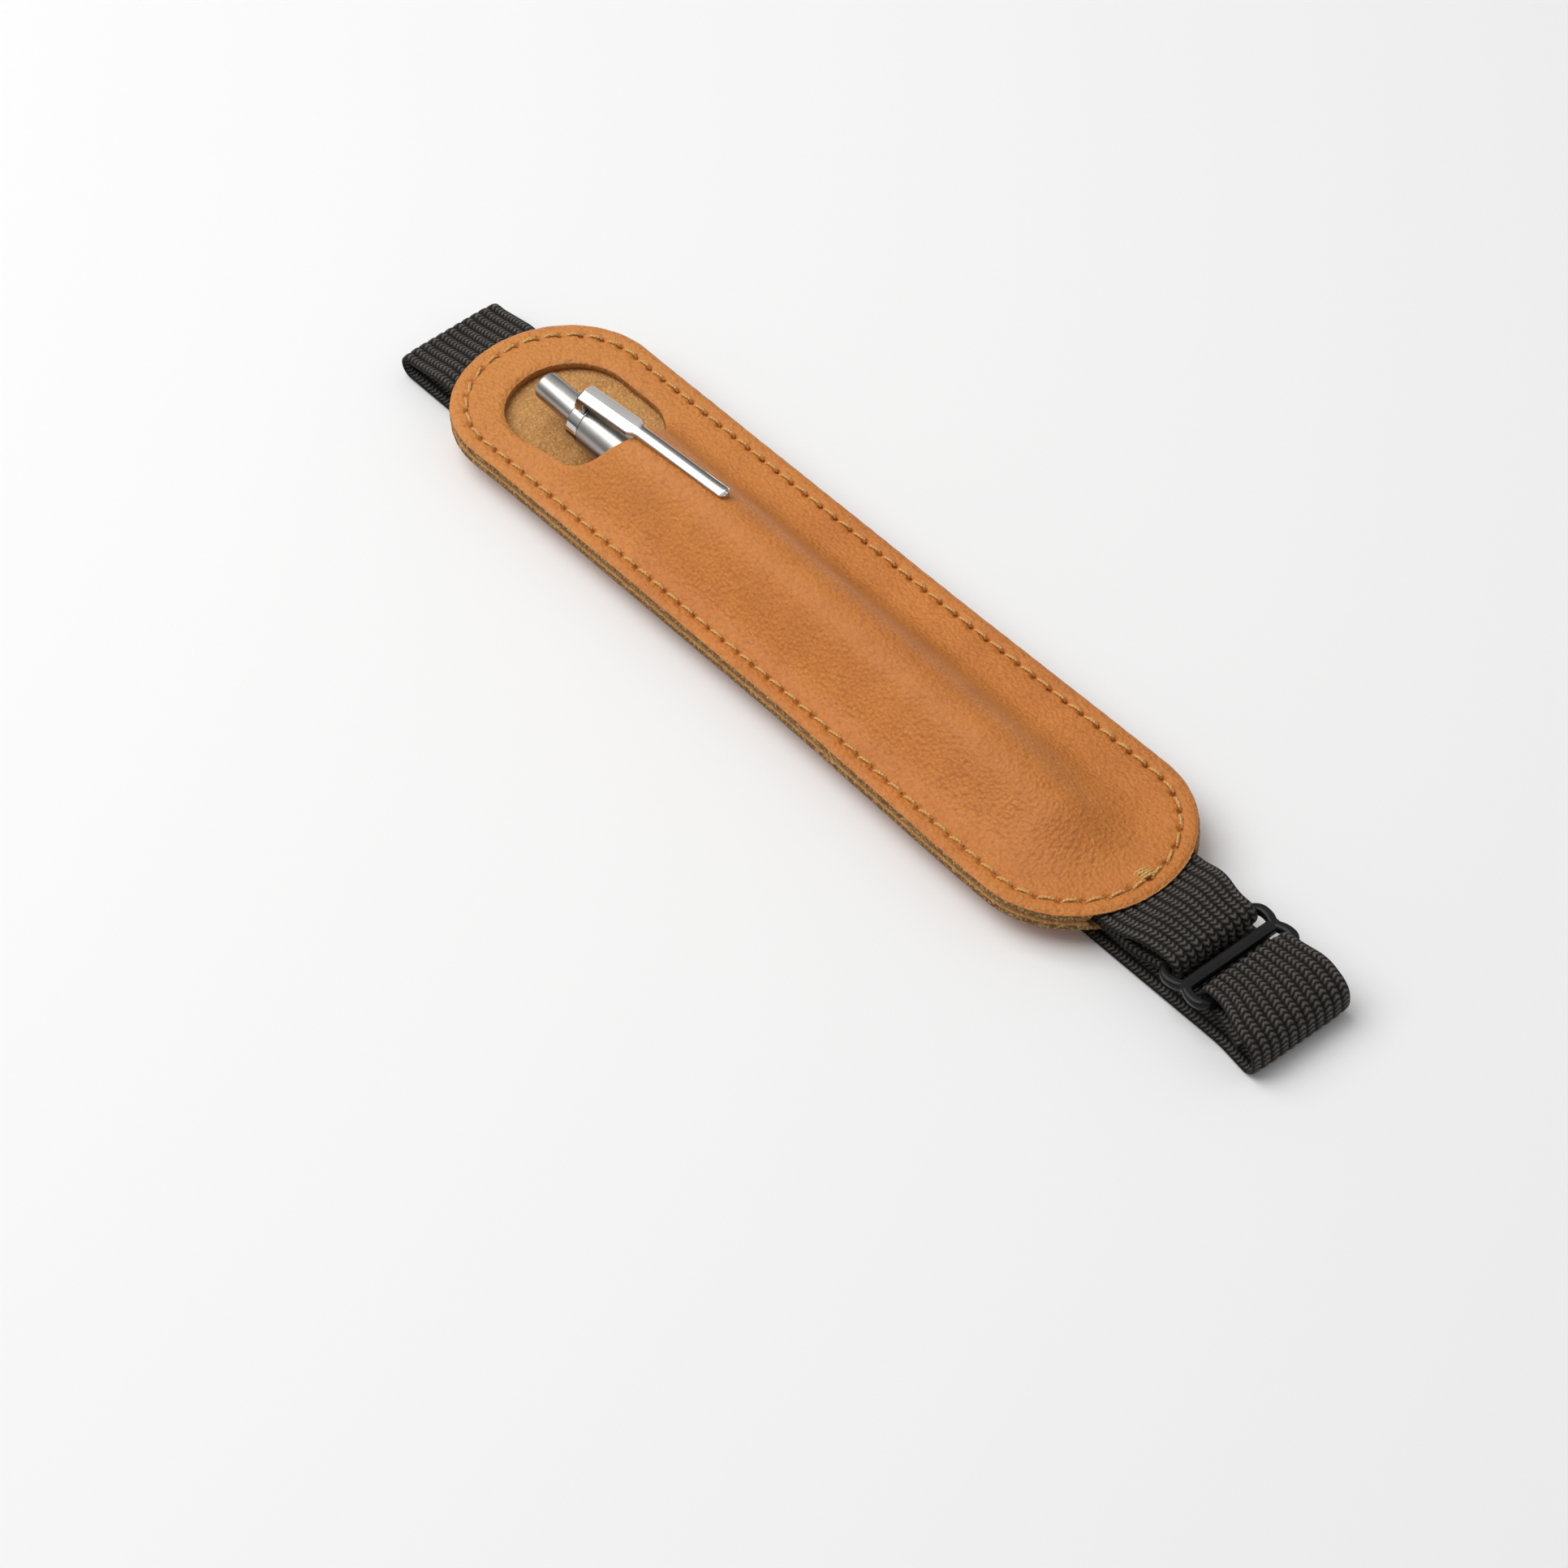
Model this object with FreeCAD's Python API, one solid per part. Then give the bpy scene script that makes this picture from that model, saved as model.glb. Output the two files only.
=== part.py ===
import FreeCAD, Part
import math
import os

# Leather pen case on an elastic strap, with the push-button pen that it carries. Millimetres.
# The strap loop runs along X, the head (window) end of the case is at -X and +Z is up.
# The origin is on the surface that the strap lies on, under the middle of the strap loop.

# Leather panels and their seam
leather = 2.1
case_width = 38.0
foot_margin = 22.6
seam_inset = 2.8
stitch_pitch = 3.8
stitch_gap = 0.9
stitch_slant = 8.0
thread = 0.6
flange_margin = 2.2
fade_margin = 8.0
fillet_run = 2.3
drape_clear = 0.5
net_step = 1.6
bend_rows = 7
rise_setback = 5.0

# Window in the front panel
window_setback = 10.1
window_length = 33.8
window_width = 22.6

# Elastic strap and the board that it grips
strap_width = 20.0
strap_thick = 1.2
strap_tuck = 8.0
ply_gap = 0.1
pocket_lead = 1.0
board_gap = 2.5
head_lead = 12.3
head_offset = -1.2
foot_lead = 12.6
short_reach = 11.3
loop_arch = 1.3
arch_bend = 5.0
seam_bend = 6.0
crest_run = 5.0
lap_run = 4.5
tail_stop = 2.6
tail_gap = 0.25

# Slider that joins the two strap loops
bar = 1.6
bar_pitch = 4.9
slot_length = 18.2
slider_rail = 1.7
slider_corner = 2.7
slot_corner = 0.8
slider_bevel = 0.5
strap_side_clear = 0.55
strap_taper = 2.7
bar_clear = 0.3
lift_room = 0.8

# Pen
pen_length = 128.0
pen_radius = 4.3
pen_setback = 18.4
pen_offset = -2.2
pen_clear = 0.3
rim_clear = 0.4
barrel_wall = 0.55
button_radius = 2.6
button_end_radius = 2.0
button_reach = 10.1
button_length = 19.0
button_dome = 0.9
button_travel = 3.5
slide_fit = 0.1
seat_fit = 0.05
collar_length = 3.4
collar_lip = 0.8
joint_length = 8.0
grip_length = 9.0
taper_length = 36.0
taper_radius = 3.7
nose_length = 19.0
nose_radius = 1.3
nose_mouth = 0.95
nose_spigot = 6.0
nose_shoulder = 8.0
shoulder_radius = 3.0
point_recess = 1.1

# Click mechanism and refill
sleeve_length = 22.0
guide_count = 4
guide_width = 1.1
guide_length = 15.0
key_length = 5.0
rotor_radius = 2.2
refill_radius = 2.9
end_gap = 0.5
neck_radius = 1.5
point_radius = 0.75
ball_radius = 0.4
spring_bore = 2.5
spring_wire = 0.4
wire_sides = 4
spring_turns = 7
spring_fit = 0.15

# Clip
clip_width = 4.6
clip_root = 12.4
clip_length = 33.8
clip_shoulder = 1.6
clip_arm_width = 2.2
clip_thick = 1.3
clip_seat = 0.8
clip_leg = 2.2
clip_rake = 0.9
clip_roll = 6.0
clip_skew = 4.5
clip_clear = 0.35

# Tolerance for picking edges and for telling two points apart
pick_tolerance = 0.05
tiny = 1e-6

# Lengths and heights that follow from the sizes above
case_length = pen_setback + pen_length + foot_margin
loop_length = head_lead + case_length + short_reach + 2 * bar_pitch + foot_lead
head_end = -loop_length / 2 + head_lead
foot_end = head_end + case_length
half_width = case_width / 2
board_top = strap_thick + board_gap
seam_plane = board_top + leather
front_top = seam_plane + leather
bar_1 = foot_end + short_reach
bar_2 = bar_1 + 2 * bar_pitch
bar_height = board_top + strap_thick + bar_clear + bar / 2
loop_room = bar / 2 + bar_clear + strap_thick / 2
single_seat = strap_thick / 2
double_seat = strap_thick + ply_gap / 2

# Pen axis: it clears the head rim of the window and the inside of the back panel
pen_x = head_end + pen_setback
rim_x = head_end + window_setback
collar_start = button_reach
barrel_start = collar_start + collar_length
nose_start = pen_length - nose_length
taper_start = nose_start - taper_length
barrel_joint = taper_start - grip_length
rim_reach = pen_x - rim_x
rim_height = front_top + rim_clear + pen_radius
rests = [(taper_start, pen_radius), (nose_start, taper_radius)]
falls = [
    (rim_height - seam_plane - pen_clear - radius) / (rim_reach + station) for station, radius in rests
]
tilt = math.atan(min(falls))
pen_z = rim_height - rim_reach * math.tan(tilt)
bore_radius = pen_radius - barrel_wall
lower_bore = bore_radius - barrel_wall
refill_end = nose_start - nose_spigot - button_travel - end_gap
spring_seat = nose_start + nose_shoulder
sleeve_end = barrel_start + sleeve_length
rotor_end = sleeve_end + end_gap

# Crown of the front panel over the pen
crown = pen_radius + drape_clear
seam_radius = half_width - seam_inset
field = seam_radius - thread
rise_end = rim_x + window_length - rise_setback
tip_x = pen_x + pen_length * math.cos(tilt)
fade_end = foot_end - fade_margin


def vector(x, y, z):
    return FreeCAD.Vector(x, y, z)


def in_pen_frame(shape):
    """Lay a pen piece along the tilted pen axis."""
    placed = shape.copy()
    placed.rotate(vector(0, 0, 0), vector(0, 1, 0), math.degrees(tilt))
    placed.translate(vector(pen_x, pen_offset, pen_z))
    return placed


def turned(profile):
    """Solid of revolution about X from corners given as station and radius."""
    corners = [vector(station, 0, radius) for station, radius in profile]
    face = Part.Face(Part.makePolygon(corners + corners[:1]))
    return face.revolve(vector(0, 0, 0), vector(1, 0, 0), 360)


def stadium(length, width, start_x):
    """Oblong face with half-round ends, centred on Y = 0."""
    radius = width / 2
    first = start_x + radius
    last = start_x + length - radius
    corners = [
        vector(first, -radius, 0),
        vector(last, -radius, 0),
        vector(last, radius, 0),
        vector(first, radius, 0),
    ]
    edges = [
        Part.LineSegment(corners[0], corners[1]).toShape(),
        Part.Arc(corners[1], vector(last + radius, 0, 0), corners[2]).toShape(),
        Part.LineSegment(corners[2], corners[3]).toShape(),
        Part.Arc(corners[3], vector(first - radius, 0, 0), corners[0]).toShape(),
    ]
    return Part.Face(Part.Wire(edges))


def upright(face, low, high):
    """Stand a flat face up between two heights."""
    solid = face.extrude(vector(0, 0, high - low))
    solid.translate(vector(0, 0, low))
    return solid


def offset_corners(corners, distance):
    """Move each run of a polyline sideways, to its left, keeping the runs parallel."""
    normals = []
    for (x0, z0), (x1, z1) in zip(corners, corners[1:]):
        length = math.hypot(x1 - x0, z1 - z0)
        normals.append(((z0 - z1) / length, (x1 - x0) / length))
    moved = []
    for index, (x, z) in enumerate(corners):
        before = normals[max(index - 1, 0)]
        after = normals[min(index, len(normals) - 1)]
        share = distance / (1 + before[0] * after[0] + before[1] * after[1])
        moved.append((x + share * (before[0] + after[0]), z + share * (before[1] + after[1])))
    return moved


def rounded_runs(corners, bends, side):
    """Edges of a polyline in the XZ plane with tangent arcs at its inner corners."""
    starts = [corners[0]]
    arcs = []
    for before, corner, after, bend in zip(corners, corners[1:], corners[2:], bends):
        back = (before[0] - corner[0], before[1] - corner[1])
        ahead = (after[0] - corner[0], after[1] - corner[1])
        back_length = math.hypot(*back)
        ahead_length = math.hypot(*ahead)
        back = (back[0] / back_length, back[1] / back_length)
        ahead = (ahead[0] / ahead_length, ahead[1] / ahead_length)
        turn = math.copysign(1, ahead[0] * back[1] - ahead[1] * back[0])
        radius = bend - turn * side
        half = math.acos(back[0] * ahead[0] + back[1] * ahead[1]) / 2
        reach = radius / math.tan(half)
        depth = radius / math.sin(half) - radius
        middle = (back[0] + ahead[0], back[1] + ahead[1])
        middle_length = math.hypot(*middle)
        first = (corner[0] + reach * back[0], corner[1] + reach * back[1])
        last = (corner[0] + reach * ahead[0], corner[1] + reach * ahead[1])
        crest = (
            corner[0] + depth * middle[0] / middle_length,
            corner[1] + depth * middle[1] / middle_length,
        )
        arcs.append((first, crest, last))
        starts.append(last)
    edges = []
    ends = [arc[0] for arc in arcs] + [corners[-1]]
    for index, (start, end) in enumerate(zip(starts, ends)):
        if math.hypot(end[0] - start[0], end[1] - start[1]) > tiny:
            edges.append(side_line(start, end))
        if index < len(arcs):
            points = [vector(x, 0, z) for x, z in arcs[index]]
            edges.append(Part.Arc(*points).toShape())
    return edges


def side_line(start, end):
    """Straight edge in the XZ plane."""
    return Part.LineSegment(vector(start[0], 0, start[1]), vector(end[0], 0, end[1])).toShape()


def ribbon(corners, bends, offset=0.0):
    """Strap along a side-view route of straight runs and tangent bends."""
    edges = []
    ends = []
    for side in (strap_thick / 2, -strap_thick / 2):
        moved = offset_corners(corners, side)
        edges += rounded_runs(moved, bends, side)
        ends.append((moved[0], moved[-1]))
    for upper, lower in zip(*ends):
        edges.append(side_line(upper, lower))
    face = Part.Face(Part.Wire(Part.__sortEdges__(edges)))
    solid = face.extrude(vector(0, strap_width, 0))
    solid.translate(vector(0, offset - strap_width / 2, 0))
    return solid


def plan_face(outline):
    """Flat face from plan corners."""
    corners = [vector(x, y, 0) for x, y in outline]
    return Part.Face(Part.makePolygon(corners + corners[:1]))


def slot_plan(end_x, narrow_x, wide_x, far_x):
    """Plan of a strap that is drawn in between narrow_x and end_x to pass the slider's slot."""
    half_slot = slot_length / 2 - strap_side_clear
    half_strap = strap_width / 2
    outline = [(end_x, -half_slot), (narrow_x, -half_slot), (wide_x, -half_strap), (far_x, -half_strap)]
    outline += [(x, -y) for x, y in reversed(outline)]
    return upright(plan_face(outline), -strap_thick, 2 * front_top)


def strap_pocket(start_x, offset, low, high):
    """Skived recess that holds a strap end between the panels."""
    pocket = Part.makeBox(pocket_lead + strap_tuck, strap_width, high - low)
    pocket.translate(vector(start_x, offset - strap_width / 2, low))
    return pocket


def strap_seats(panel, single_low, single_high, double_low, double_high):
    """Cut the seats of the single strap at the head and of the doubled strap at the foot."""
    seated = panel.cut(strap_pocket(head_end - pocket_lead, head_offset, single_low, single_high))
    return seated.cut(strap_pocket(foot_end - strap_tuck, 0.0, double_low, double_high))


def pen_outline(station):
    """Radius of the pen at a distance from its button end."""
    if station <= taper_start:
        return pen_radius
    if station <= nose_start:
        return pen_radius + (taper_radius - pen_radius) * (station - taper_start) / taper_length
    share = min((station - nose_start) / (pen_length - nose_start), 1)
    return taper_radius + (nose_radius - taper_radius) * share ** 2


def over_pen(x):
    """Height above the seam of leather that lies over the pen."""
    station = (x - pen_x) / math.cos(tilt)
    axis = pen_z - station * math.sin(tilt) - seam_plane
    return axis + pen_outline(station) + drape_clear


def crest_height(x):
    """Height of the front panel's inner crest above the seam, along X."""
    if x <= rim_x or x >= fade_end:
        return 0.0
    if x < rise_end:
        share = (x - rim_x) / (rise_end - rim_x)
        return over_pen(rise_end) * (1 - math.cos(math.pi * share)) / 2
    if x <= tip_x:
        return over_pen(x)
    share = (x - tip_x) / (fade_end - tip_x)
    return over_pen(tip_x) * (1 + math.cos(math.pi * share)) / 2


def foot_reach(x):
    """Distance from the pen line at which the draped leather meets the flat seam."""
    into_end = max(x - foot_end + half_width, 0.0)
    return math.sqrt(seam_radius ** 2 - into_end ** 2) - flange_margin - abs(pen_offset)


def drape(x, reach, skin):
    """Height of the draped leather at a distance from the pen line; skin is the offset outwards."""
    crest = crest_height(x)
    if crest <= 0:
        return skin
    centre = crest - crown
    radius = crown + skin
    foot = foot_reach(x) - fillet_run
    slope = math.atan2(centre, foot) + math.asin(crown / math.hypot(foot, centre))
    rise = math.tan(slope)
    foot += skin * math.tan(slope / 2)
    if reach <= radius * math.sin(slope):
        return centre + math.sqrt(radius ** 2 - reach ** 2)
    if reach <= foot - fillet_run:
        return skin + (foot - reach) * rise
    if reach < foot + fillet_run:
        return skin + (foot + fillet_run - reach) ** 2 * rise / (4 * fillet_run)
    return skin


def clamped(poles, degree):
    """Knot multiplicities of a curve with clamped ends."""
    return [degree + 1] + [1] * (poles - degree - 1) + [degree + 1]


def formed_skin(start, end, rows, skin):
    """Surface of the field from start to end along X; one row is straight, more rows bend."""
    columns = math.ceil(2 * field / net_step)
    net = []
    for row in range(rows + 1):
        x = start + (end - start) * row / rows
        line = []
        for column in range(columns + 1):
            y = field * (2 * column / columns - 1)
            line.append(vector(x, y, seam_plane + drape(x, abs(y - pen_offset), skin)))
        net.append(line)
    along = min(rows, 3)
    along_knots = clamped(rows + 1, along)
    across_knots = clamped(columns + 1, 3)
    surface = Part.BSplineSurface()
    surface.buildFromPolesMultsKnots(
        net,
        along_knots,
        across_knots,
        list(range(len(along_knots))),
        list(range(len(across_knots))),
        False,
        False,
        along,
        3,
    )
    return surface.toShape()


def formed_stretch(start, end, rows):
    """Solid stretch of the field over the pen, even in thickness."""
    top = formed_skin(start, end, rows, leather)
    flesh = formed_skin(start, end, rows, 0.0)
    walls = [
        Part.makeRuledSurface(upper, lower) for upper, lower in zip(top.Edges, flesh.Edges)
    ]
    shell = Part.makeShell([top, flesh] + walls)
    shell.sewShape()
    solid = Part.makeSolid(shell)
    if solid.Volume < 0:
        solid.reverse()
    return solid


def formed_field():
    """Stretches of the field: the rise in the window, the barrel, its taper, and the fade past the nose."""
    taper_x = pen_x + taper_start * math.cos(tilt)
    nose_x = pen_x + nose_start * math.cos(tilt)
    return [
        formed_stretch(rim_x, rise_end, bend_rows),
        formed_stretch(rise_end, taper_x, 1),
        formed_stretch(taper_x, nose_x, 1),
        formed_stretch(nose_x, fade_end, bend_rows),
    ]


def front_panel():
    """Leather front, formed over the pen, with the window and the skived strap seats."""
    outline = stadium(case_length, case_width, head_end)
    field_length = fade_end - rim_x
    room = Part.makeBox(field_length, 2 * field, 2 * front_top, vector(rim_x, -field, 0))
    panel = upright(outline, seam_plane, front_top).cut(room)
    panel = panel.multiFuse(formed_field()).removeSplitter()
    panel = panel.common(upright(outline, 0, 4 * front_top))
    panel = panel.cut(upright(stadium(window_length, window_width, rim_x), 0, 4 * front_top))
    return strap_seats(panel, board_top, seam_plane + single_seat, board_top, seam_plane + double_seat)


def back_panel():
    """Flat leather back with the skived strap seats."""
    panel = upright(stadium(case_length, case_width, head_end), board_top, seam_plane)
    return strap_seats(panel, seam_plane - single_seat, front_top, seam_plane - double_seat, front_top)


def stitch():
    """One stitch along X on its flat side, with a bevelled back."""
    half = thread / 2
    section = [(-half, 0), (-half / 2, half), (half / 2, half), (half, 0)]
    length = stitch_pitch - stitch_gap
    corners = [vector(-length / 2, y, z) for y, z in section]
    solid = Part.Face(Part.makePolygon(corners + corners[:1])).extrude(vector(length, 0, 0))
    solid.rotate(vector(0, 0, 0), vector(0, 0, 1), stitch_slant)
    return solid


def seam_stitches(height, below):
    """Row of stitches round the case at one face of the seam."""
    seam = stadium(case_length - 2 * seam_inset, case_width - 2 * seam_inset, head_end + seam_inset)
    path = seam.OuterWire
    count = round(path.Length / stitch_pitch)
    row = []
    for point in path.discretize(Number=count + 1)[:-1]:
        spot = path.distToShape(Part.Vertex(point))[2][0]
        edge = path.Edges[spot[1]] if spot[0] == "Edge" else path.Edges[0]
        heading = edge.tangentAt(edge.Curve.parameter(point))
        one = stitch()
        if below:
            one.rotate(vector(0, 0, 0), vector(1, 0, 0), 180)
        one.rotate(vector(0, 0, 0), vector(0, 0, 1), math.degrees(math.atan2(heading.y, heading.x)))
        one.translate(vector(point.x, point.y, height))
        row.append(one)
    return Part.makeCompound(row)


def strap_head_fold():
    """Strap from the head seam over the board's edge and round to the lower run."""
    fold_x = -loop_length / 2 + strap_thick / 2
    fold_bend = (board_gap + strap_thick) / 2
    corners = [
        (head_end + strap_tuck, seam_plane),
        (head_end - strap_thick, seam_plane),
        (fold_x + fold_bend + strap_thick, board_top + strap_thick / 2),
        (fold_x, board_top + strap_thick / 2),
        (fold_x, strap_thick / 2),
        (run_start(), strap_thick / 2),
    ]
    return ribbon(corners, [seam_bend, seam_bend, fold_bend, fold_bend], head_offset)


def run_start():
    """Where the straight lower run begins, clear of the head fold."""
    return -loop_length / 2 + head_lead


def run_end():
    """Where the straight lower run ends, clear of the foot fold."""
    return loop_length / 2 - foot_lead


def strap_lower_run():
    """Flat strap under the board, which the whole part lies on."""
    half = strap_width / 2
    outline = [
        (run_start(), head_offset - half),
        (run_end(), -half),
        (run_end(), half),
        (run_start(), head_offset + half),
    ]
    return upright(plan_face(outline), 0, strap_thick)


def strap_foot_loop():
    """Strap from the lower run round the board's foot edge, over the slider's far bar and back."""
    fold_x = loop_length / 2 - strap_thick / 2
    low = board_top + strap_thick / 2
    lap = low + strap_thick + tail_gap
    high = bar_height + bar / 2 + lift_room + strap_thick / 2
    wrap_x = bar_2 - (high - low) / 2
    crest_x = bar_2 + crest_run
    lap_x = loop_length / 2 - lap_run
    corners = [
        (run_end(), strap_thick / 2),
        (fold_x, strap_thick / 2),
        (fold_x, lap),
        (lap_x, lap),
        (crest_x, high),
        (wrap_x, high),
        (wrap_x, low),
        (loop_length / 2 - strap_thick - tail_stop, low),
    ]
    fold_bend = (lap - strap_thick / 2) / 2
    wrap_bend = (high - low) / 2
    loop = ribbon(corners, [fold_bend, fold_bend, arch_bend / 2, arch_bend / 2, wrap_bend, wrap_bend])
    narrow_x = bar_2 + bar / 2 + strap_side_clear + bar_clear
    return loop.common(slot_plan(wrap_x - 2 * strap_thick, narrow_x, narrow_x + strap_taper, loop_length))


def strap_short_loop():
    """Doubled strap from the foot seam round the slider's near bar."""
    low = board_top + strap_thick / 2
    seat = (strap_thick + ply_gap) / 2
    high = bar_height + loop_room
    wrap_x = bar_1 + loop_room
    corners = [
        (foot_end - strap_tuck, seam_plane + seat),
        (foot_end + strap_thick, seam_plane + seat),
        (foot_end + short_reach / 2, high + loop_arch),
        (bar_1 - arch_bend / 2, high),
        (wrap_x, high),
        (wrap_x, low),
        (foot_end + short_reach / 2, low),
        (foot_end + strap_thick, seam_plane - seat),
        (foot_end - strap_tuck, seam_plane - seat),
    ]
    wrap_bend = (high - low) / 2
    bends = [arch_bend / 2, arch_bend, arch_bend / 2, wrap_bend, wrap_bend, arch_bend, arch_bend / 2]
    loop = ribbon(corners, bends)
    narrow_x = bar_1 - bar / 2 - strap_side_clear - bar_clear
    return loop.common(slot_plan(wrap_x + 2 * strap_thick, narrow_x, narrow_x - strap_taper, head_end))


def slider_frame():
    """Figure-eight frame: two rounded rings that share the middle bar."""
    ring_length = bar_pitch + bar
    ring_width = slot_length + 2 * slider_rail
    near_bars = (bar_1, bar_1 + bar_pitch)
    rings = []
    for near_bar in near_bars:
        plate = rounded_plate(near_bar - bar / 2, ring_length, ring_width, slider_corner)
        rings.append(plate.makeChamfer(slider_bevel, rim_edges(plate, plate.BoundBox)))
    frame = rings[0].fuse(rings[1]).removeSplitter()
    slots = []
    for near_bar in near_bars:
        slots.append(rounded_plate(near_bar + bar / 2, bar_pitch - bar, slot_length, slot_corner))
        frame = frame.cut(slots[-1])
    for slot in slots:
        frame = frame.makeChamfer(slider_bevel, rim_edges(frame, slot.BoundBox))
    return frame


def rim_edges(solid, box):
    """Edges round the upper and lower mouth of an outline that fills a box."""
    room = FreeCAD.BoundBox(box)
    room.enlarge(pick_tolerance)
    return [
        edge
        for edge in solid.Edges
        if edge.BoundBox.ZLength < pick_tolerance
        and room.isInside(edge.BoundBox)
        and min(abs(edge.BoundBox.ZMin - box.ZMin), abs(edge.BoundBox.ZMin - box.ZMax)) < pick_tolerance
    ]


def rounded_plate(start_x, length, width, corner):
    """Plate of bar thickness at the slider's height, with rounded plan corners."""
    plate = Part.makeBox(length, width, bar)
    plate.translate(vector(start_x, -width / 2, bar_height - bar / 2))
    corners = [edge for edge in plate.Edges if edge.BoundBox.ZLength > bar / 2]
    return plate.makeFillet(corner, corners)


def push_button():
    """Plunger with a tapered, domed end that the thumb presses."""
    taper_end = button_reach - button_travel - end_gap
    solid = turned(
        [
            (0, 0),
            (0, button_end_radius),
            (taper_end, button_radius),
            (button_length, button_radius),
            (button_length, 0),
        ]
    )
    rim = [edge for edge in solid.Edges if edge.BoundBox.XMax < pick_tolerance and edge.Closed]
    return in_pen_frame(solid.makeFillet(button_dome, rim))


def clip_collar():
    """Polished ring that closes the barrel round the button and carries the clip."""
    bore = button_radius + slide_fit
    lip = pen_radius - collar_lip
    solid = turned(
        [
            (collar_start, bore),
            (collar_start, lip),
            (collar_start + collar_lip, pen_radius),
            (barrel_start, pen_radius),
            (barrel_start, bore),
        ]
    )
    return in_pen_frame(solid)


def upper_barrel():
    """Satin tube from the collar to the joint."""
    return in_pen_frame(
        turned(
            [
                (barrel_start, bore_radius),
                (barrel_start, pen_radius),
                (barrel_joint, pen_radius),
                (barrel_joint, bore_radius),
            ]
        )
    )


def lower_barrel():
    """Grip tube, screwed into the upper barrel by its spigot and tapered at the front."""
    return in_pen_frame(
        turned(
            [
                (barrel_joint - joint_length, lower_bore),
                (barrel_joint - joint_length, bore_radius - seat_fit),
                (barrel_joint, bore_radius - seat_fit),
                (barrel_joint, pen_radius),
                (taper_start, pen_radius),
                (nose_start, taper_radius),
                (nose_start, lower_bore),
            ]
        )
    )


def nose_cone():
    """Metal nose with the spring seat and the mouth for the point."""
    return in_pen_frame(
        turned(
            [
                (nose_start - nose_spigot, spring_bore),
                (nose_start - nose_spigot, lower_bore - seat_fit),
                (nose_start, lower_bore - seat_fit),
                (nose_start, taper_radius),
                (spring_seat, shoulder_radius),
                (pen_length, nose_radius),
                (pen_length, nose_mouth),
                (spring_seat, nose_mouth),
                (spring_seat, spring_bore),
            ]
        )
    )


def guides(start, length, width, reach):
    """Radial keys that run along the pen, evenly spaced round its axis."""
    keys = []
    for index in range(guide_count):
        key = Part.makeBox(length, width, reach)
        key.translate(vector(start, -width / 2, 0))
        key.rotate(vector(0, 0, 0), vector(1, 0, 0), index * 360 / guide_count)
        keys.append(key)
    return keys


def cam_sleeve():
    """Guide tube in the upper barrel, slotted for the rotor's keys."""
    bore = button_radius + slide_fit
    outside = bore_radius - seat_fit
    tube = turned(
        [(barrel_start, bore), (barrel_start, outside), (sleeve_end, outside), (sleeve_end, bore)]
    )
    for slot in guides(sleeve_end - guide_length, 2 * guide_length, guide_width, pen_radius):
        tube = tube.cut(slot)
    return in_pen_frame(tube)


def cam_rotor():
    """Indexing rotor between the button and the refill, keyed in the sleeve."""
    start = button_length
    body = turned([(start, 0), (start, rotor_radius), (rotor_end, rotor_radius), (rotor_end, 0)])
    key_start = sleeve_end - guide_length + end_gap
    reach = bore_radius - seat_fit - slide_fit
    for key in guides(key_start, key_length, guide_width - 2 * slide_fit, reach):
        body = body.fuse(key)
    return in_pen_frame(body.removeSplitter())


def refill_tube():
    """Ink tube of the refill."""
    return in_pen_frame(
        turned(
            [
                (rotor_end, 0),
                (rotor_end, refill_radius),
                (refill_end, refill_radius),
                (refill_end, 0),
            ]
        )
    )


def refill_point():
    """Writing point of the refill, drawn back inside the nose."""
    tip = pen_length - point_recess
    neck_end = spring_seat - button_travel - end_gap
    return in_pen_frame(
        turned(
            [
                (refill_end, 0),
                (refill_end, neck_radius),
                (neck_end, neck_radius),
                (neck_end, point_radius),
                (tip - point_radius, point_radius),
                (tip, ball_radius),
                (tip, 0),
            ]
        )
    )


def return_spring():
    """Coil spring between the refill's shoulder and its seat in the nose."""
    radius = spring_bore - spring_fit - spring_wire / 2
    start = refill_end + spring_wire
    length = spring_seat - spring_wire - start
    helix = Part.makeHelix(length / spring_turns, length, radius)
    section = []
    for index in range(wire_sides):
        angle = 2 * math.pi * index / wire_sides
        reach = spring_wire / 2
        section.append(vector(radius + reach * math.cos(angle), 0, reach * math.sin(angle)))
    profile = Part.makePolygon(section + section[:1])
    coil = Part.Wire(helix.Edges).makePipeShell([profile], True, True)
    coil.rotate(vector(0, 0, 0), vector(0, 1, 0), 90)
    coil.translate(vector(start, 0, 0))
    return in_pen_frame(coil)


def pen_clip():
    """Spring clip: a leg on the collar, a wide root, a slim arm over the leather and a round end."""
    leg = collar_start + clip_seat
    start = leg + clip_rake
    root_end = start + clip_root
    end = start + clip_length
    under = crown + leather + clip_clear
    top = under + clip_thick
    profile = [
        (leg, 0),
        (leg, pen_radius),
        (start, top),
        (root_end, top),
        (end, under + clip_thick / 2),
        (end, under),
        (start + clip_leg, under),
        (leg + clip_leg, pen_radius),
        (leg + clip_leg, 0),
    ]
    corners = [vector(station, 0, height) for station, height in profile]
    side = Part.Face(Part.makePolygon(corners + corners[:1]))
    body = side.extrude(vector(0, clip_width, 0))
    body.translate(vector(0, -clip_width / 2, 0))
    body = body.common(upright(clip_plan(leg, root_end, end), 0, 2 * top))
    body.rotate(vector(start, 0, 0), vector(0, 0, 1), clip_skew)
    body.rotate(vector(0, 0, 0), vector(1, 0, 0), clip_roll)
    seat_radius = pen_radius + seat_fit
    seat = Part.makeCylinder(seat_radius, end, vector(0, 0, 0), vector(1, 0, 0))
    return in_pen_frame(body.cut(seat))


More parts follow.
